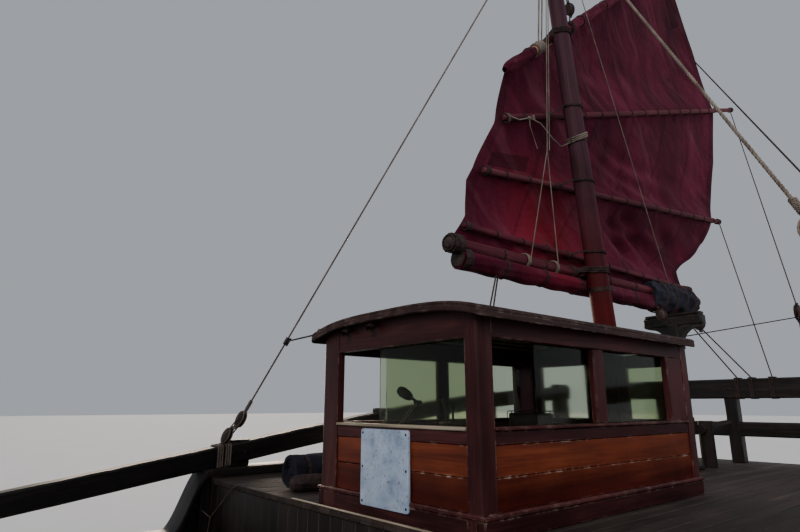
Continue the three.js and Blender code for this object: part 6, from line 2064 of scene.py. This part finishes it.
def blown_pad(low, high):
    """A foam pad in its cover: an eased block that a cloth simulation blows up a little."""
    mesh = bpy.data.meshes.new("pad")
    shaped = bmesh.new()
    bmesh.ops.create_cube(shaped, size=1)
    shrink = pad_swell * 0.8
    for vertex in shaped.verts:
        vertex.co = Vector([low[i] + shrink if vertex.co[i] < 0 else high[i] - shrink for i in range(3)])
    bmesh.ops.bevel(shaped, geom=shaped.edges[:], offset=0.018, segments=3, affect="EDGES", profile=0.5)
    shaped.to_mesh(mesh)
    shaped.free()
    pad = bpy.data.objects.new("pad", mesh)
    bpy.context.scene.collection.objects.link(pad)
    remesh = pad.modifiers.new("cells", "REMESH")
    remesh.mode = "VOXEL"
    remesh.voxel_size = 0.011
    even = bpy.data.meshes.new_from_object(pad.evaluated_get(bpy.context.evaluated_depsgraph_get()))
    pad.modifiers.clear()
    pad.data = even
    rest = np.array([vertex.co for vertex in even.vertices])
    swelling = pad.modifiers.new("cloth", "CLOTH")
    swelling.settings.use_pressure = True
    swelling.settings.uniform_pressure_force = 4
    swelling.settings.tension_stiffness = swelling.settings.compression_stiffness = 20
    swelling.settings.effector_weights.gravity = 0
    for number in range(1, 21):
        bpy.context.scene.frame_set(number)
    settled = pad.evaluated_get(bpy.context.evaluated_depsgraph_get())
    moved = np.array([vertex.co for vertex in settled.data.vertices]) - rest
    bpy.context.scene.frame_set(1)
    length = np.linalg.norm(moved, axis=1, keepdims=True)
    rest = rest + moved * np.minimum(1, pad_swell / np.maximum(length, 1e-6))
    faces = [tuple(face.vertices) for face in even.polygons]
    bpy.data.objects.remove(pad)
    return rest.tolist(), faces


cushion, piping = Joinery(190), Joinery(191)
for low, high in cushion_boxes:
    points, faces = blown_pad(low, high)
    cushion.add(points, faces, tone=0.5)
    flat_axis = 2 if high[2] - low[2] < 0.2 else 0
    u, v = (axis for axis in range(3) if axis != flat_axis)
    for level in (low[flat_axis] + 0.016, high[flat_axis] - 0.016):
        loop = []
        for across, upward in rounded_corners((low[u], high[u]), (low[v], high[v]), 0.03, 0.026, 7):
            point = Vector((0, 0, 0))
            point[u], point[v], point[flat_axis] = across, upward, level
            loop.append(point)
        lay_rope(piping, loop, 0.0045, 0.012, loop=True)
cushions = cushion.finished("helm_cushions", "ship", "seat_leather", leather_finish, crease=80)
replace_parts(cushions, "seat_cushion")
piping.finished("cushion_piping", "ship", "seat_leather", leather_finish)

# Hatch: an oak coaming bolted round the opening, and a lid of five planks painted dull red, with iron
# hinges to port and a ring to lift it by.
hatch_x, hatch_half, coaming, coaming_top = (-0.5, 1.3), 0.64, 0.07, waist_deck_top + 0.3
lid_thickness = 0.06
coamings = Joinery(200)
for _, side in sides:
    y0, y1 = to_side(side, hatch_half, hatch_half - coaming)
    coamings.board((hatch_x[0], y0, waist_deck_top), (hatch_x[1], y1, coaming_top), 0.008)
for x0, x1 in ((hatch_x[0], hatch_x[0] + coaming), (hatch_x[1] - coaming, hatch_x[1])):
    coamings.board((x0, -hatch_half + coaming + 0.001, waist_deck_top),
                   (x1, hatch_half - coaming - 0.001, coaming_top), 0.008)
for x in np.arange(hatch_x[0] + 0.15, hatch_x[1], 0.3):
    for _, side in sides:
        dome(coamings, (x, side * hatch_half, waist_deck_top + 0.15), (0, side, 0), 0.014, 0.006)
hinge_y, hinge_z = hatch_half + 0.03, coaming_top + 0.03
lid_hinges, ship_hinges = Joinery(201), Joinery(202)
for x in (-0.05, 0.85):
    for low, high in ((-0.09, -0.051), (0.051, 0.09)):
        turned(ship_hinges, (x + low, hinge_y, hinge_z), (x + high, hinge_y, hinge_z),
               ((0, 0.012), (0.05, 0.014), (0.95, 0.014), (1, 0.012)))
        ship_hinges.board((x + low, hatch_half + 0.0005, hinge_z - 0.09),
                          (x + high, hatch_half + 0.009, hinge_z + 0.004), 0.002)
        ship_hinges.board((x + low, hatch_half + 0.0005, hinge_z - 0.006),
                          (x + high, hinge_y, hinge_z + 0.004), 0.002)
    turned(lid_hinges, (x - 0.05, hinge_y, hinge_z), (x + 0.05, hinge_y, hinge_z),
           ((0, 0.012), (0.03, 0.014), (0.97, 0.014), (1, 0.012)))
    lid_hinges.board((x - 0.05, hatch_half - 0.26, coaming_top + 0.0605),
                     (x + 0.05, hatch_half - 0.012, coaming_top + 0.068), 0.002)
    lid_hinges.board((x - 0.05, hatch_half - 0.02, hinge_z - 0.004), (x + 0.05, hinge_y, hinge_z + 0.008),
                     0.002)
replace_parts(coamings.finished("hatch_coamings", "ship", "hull_timber", rail_finish), "hatch_coaming")
ship_hinges.finished("coaming_hinges", "ship", "bronze", iron_finish)
hatch = Joinery(203)
lid_finish = wood_finish("dull_red_boards", (0.05, 0.014, 0.009), (0.11, 0.034, 0.02), (0.2, 0.08, 0.05),
                         rough=(0.6, 0.85), edge_wear=((0.3, 0.22, 0.17), 0.8), shine=0.1)
lid_y = np.linspace(-hatch_half - 0.02, hatch_half - 0.012, 6)
for y0, y1 in zip(lid_y, lid_y[1:]):
    hatch.board((hatch_x[0] - 0.02, y0 + 0.0015, coaming_top + 0.001),
                (hatch_x[1] + 0.02, y1 - 0.0015, coaming_top + lid_thickness), 0.006)
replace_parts(hatch.finished("hatch_planks", "hatch_lid", "varnished_panel", lid_finish), "hatch_lid")
ring_centre = Vector((0.4, -0.45, coaming_top + 0.068))
metal_ring(lid_hinges, ring_centre, (1, 0, 0), (0, 1, 0), (0, 0, 1), 0.045, 0.007, 24)
lid_hinges.board((ring_centre.x - 0.04, ring_centre.y - 0.09, coaming_top + 0.0605),
                 (ring_centre.x + 0.04, ring_centre.y - 0.03, coaming_top + 0.066), 0.002)
lid_hinges.finished("lid_irons", "hatch_lid", "bronze", iron_finish)

# Windlass: an eight-sided barrel with a warping head at each end, on an iron axle in two raking cheeks.
# It is banded with iron, and square iron sockets let into its faces take the bars that turn it.
windlass = Vector((6.15, 0, 2.13))
cheek_inner, cheek_thick = 0.635, 0.12
cheeks = Joinery(210)
for _, side in sides:
    y0, y1 = side * cheek_inner, side * (cheek_inner + cheek_thick)
    edge = [(-0.23, fore_deck_top), (0.33, fore_deck_top), (0.15, 2.26), (0.11, 2.31), (-0.09, 2.31),
            (-0.125, 2.26)]
    rings = []
    for y, inset in ((y0, 0.008), (y0 + (y1 - y0) * 0.07, 0.0), (y1 - (y1 - y0) * 0.07, 0.0), (y1, 0.008)):
        rings.append([(windlass.x + x * (1 - inset * 3), y, 2.0 + (z - 2.0) * (1 - inset * 3))
                      for x, z in edge])
    cheeks.sweep(rings)
    for x in (-0.14, 0.22):
        dome(cheeks, (windlass.x + x, y1, fore_deck_top + 0.09), (0, side, 0), 0.02, 0.008)
cheeks.board((windlass.x - 0.2, -cheek_inner - 0.06, fore_deck_top),
             (windlass.x + 0.3, cheek_inner + 0.06, fore_deck_top + 0.07), 0.01)
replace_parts(cheeks.finished("windlass_cheeks", "ship", "hull_timber", rail_finish), "windlass_posts")
barrel, bands = Joinery(211), Joinery(212)


def eight_sided(work, y0, y1, radii, hub):
    rings = []
    for share, radius in radii:
        y = y0 + (y1 - y0) * share
        rings.append([(hub.x + radius * math.cos(a), y, hub.z + radius * math.sin(a))
                      for a in np.linspace(math.pi / 8, 2 * math.pi + math.pi / 8, 8, endpoint=False)])
    work.sweep(rings, tone=0.5)


eight_sided(barrel, -0.62, 0.62, ((0, 0.14), (0.01, 0.149), (0.3, 0.149), (0.34, 0.138), (0.66, 0.138),
                                  (0.7, 0.149), (0.99, 0.149), (1, 0.14)), windlass)
for _, side in sides:
    eight_sided(barrel, side * 0.775, side * 0.945,
                ((0, 0.11), (0.12, 0.1), (0.5, 0.088), (0.85, 0.105), (0.95, 0.118), (1, 0.112)), windlass)
    turned(bands, (windlass.x, side * 0.6, windlass.z), (windlass.x, side * 0.96, windlass.z),
           ((0, 0.033), (0.97, 0.033), (1, 0.024)), 20)
for y in (-0.57, -0.24, 0.24, 0.57):
    eight_sided(bands, y - 0.02, y + 0.02, ((0, 0.1495), (0.08, 0.152), (0.92, 0.152), (1, 0.1495)), windlass)
for y in (-0.42, -0.14, 0.14, 0.42):
    for a in np.arange(0, 8, 2) * math.pi / 4:
        out = Vector((math.cos(a), 0, math.sin(a)))
        centre = Vector((windlass.x, y, windlass.z)) + out * 0.132
        turned(bands, centre, centre + out * 0.008, ((0, 0.03), (0.9, 0.03), (1, 0.024)), 4)
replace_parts(barrel.finished("windlass_drum", "windlass", "spar_wood", bare_finish), "windlass_barrel")
bands.finished("windlass_irons", "windlass", "bronze", iron_finish)

# Mooring bitts: two oak posts through the foredeck, their heads cut to a cap, with a cross beam let
# into them.
bitts = Joinery(220)
bitts_x, bitts_y, bitts_half = 8.35, 0.3, 0.08
for _, side in sides:
    y = side * bitts_y
    bitts.board((bitts_x - bitts_half, y - bitts_half, fore_deck_top),
                (bitts_x + bitts_half, y + bitts_half, 2.17), 0.012)
    rings = [[(bitts_x + a * half, y + b * half, z) for a, b in ((-1, -1), (1, -1), (1, 1), (-1, 1))]
             for z, half in ((2.168, 0.068), (2.18, 0.08), (2.2, 0.08), (2.22, 0.056))]
    bitts.sweep(rings)
bitts.board((bitts_x - 0.05, -0.52, 1.96), (bitts_x + 0.05, 0.52, 2.07), 0.014)
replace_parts(bitts.finished("mooring_bitts_timber", "ship", "rail_timber", rail_finish), "mooring_bitts")
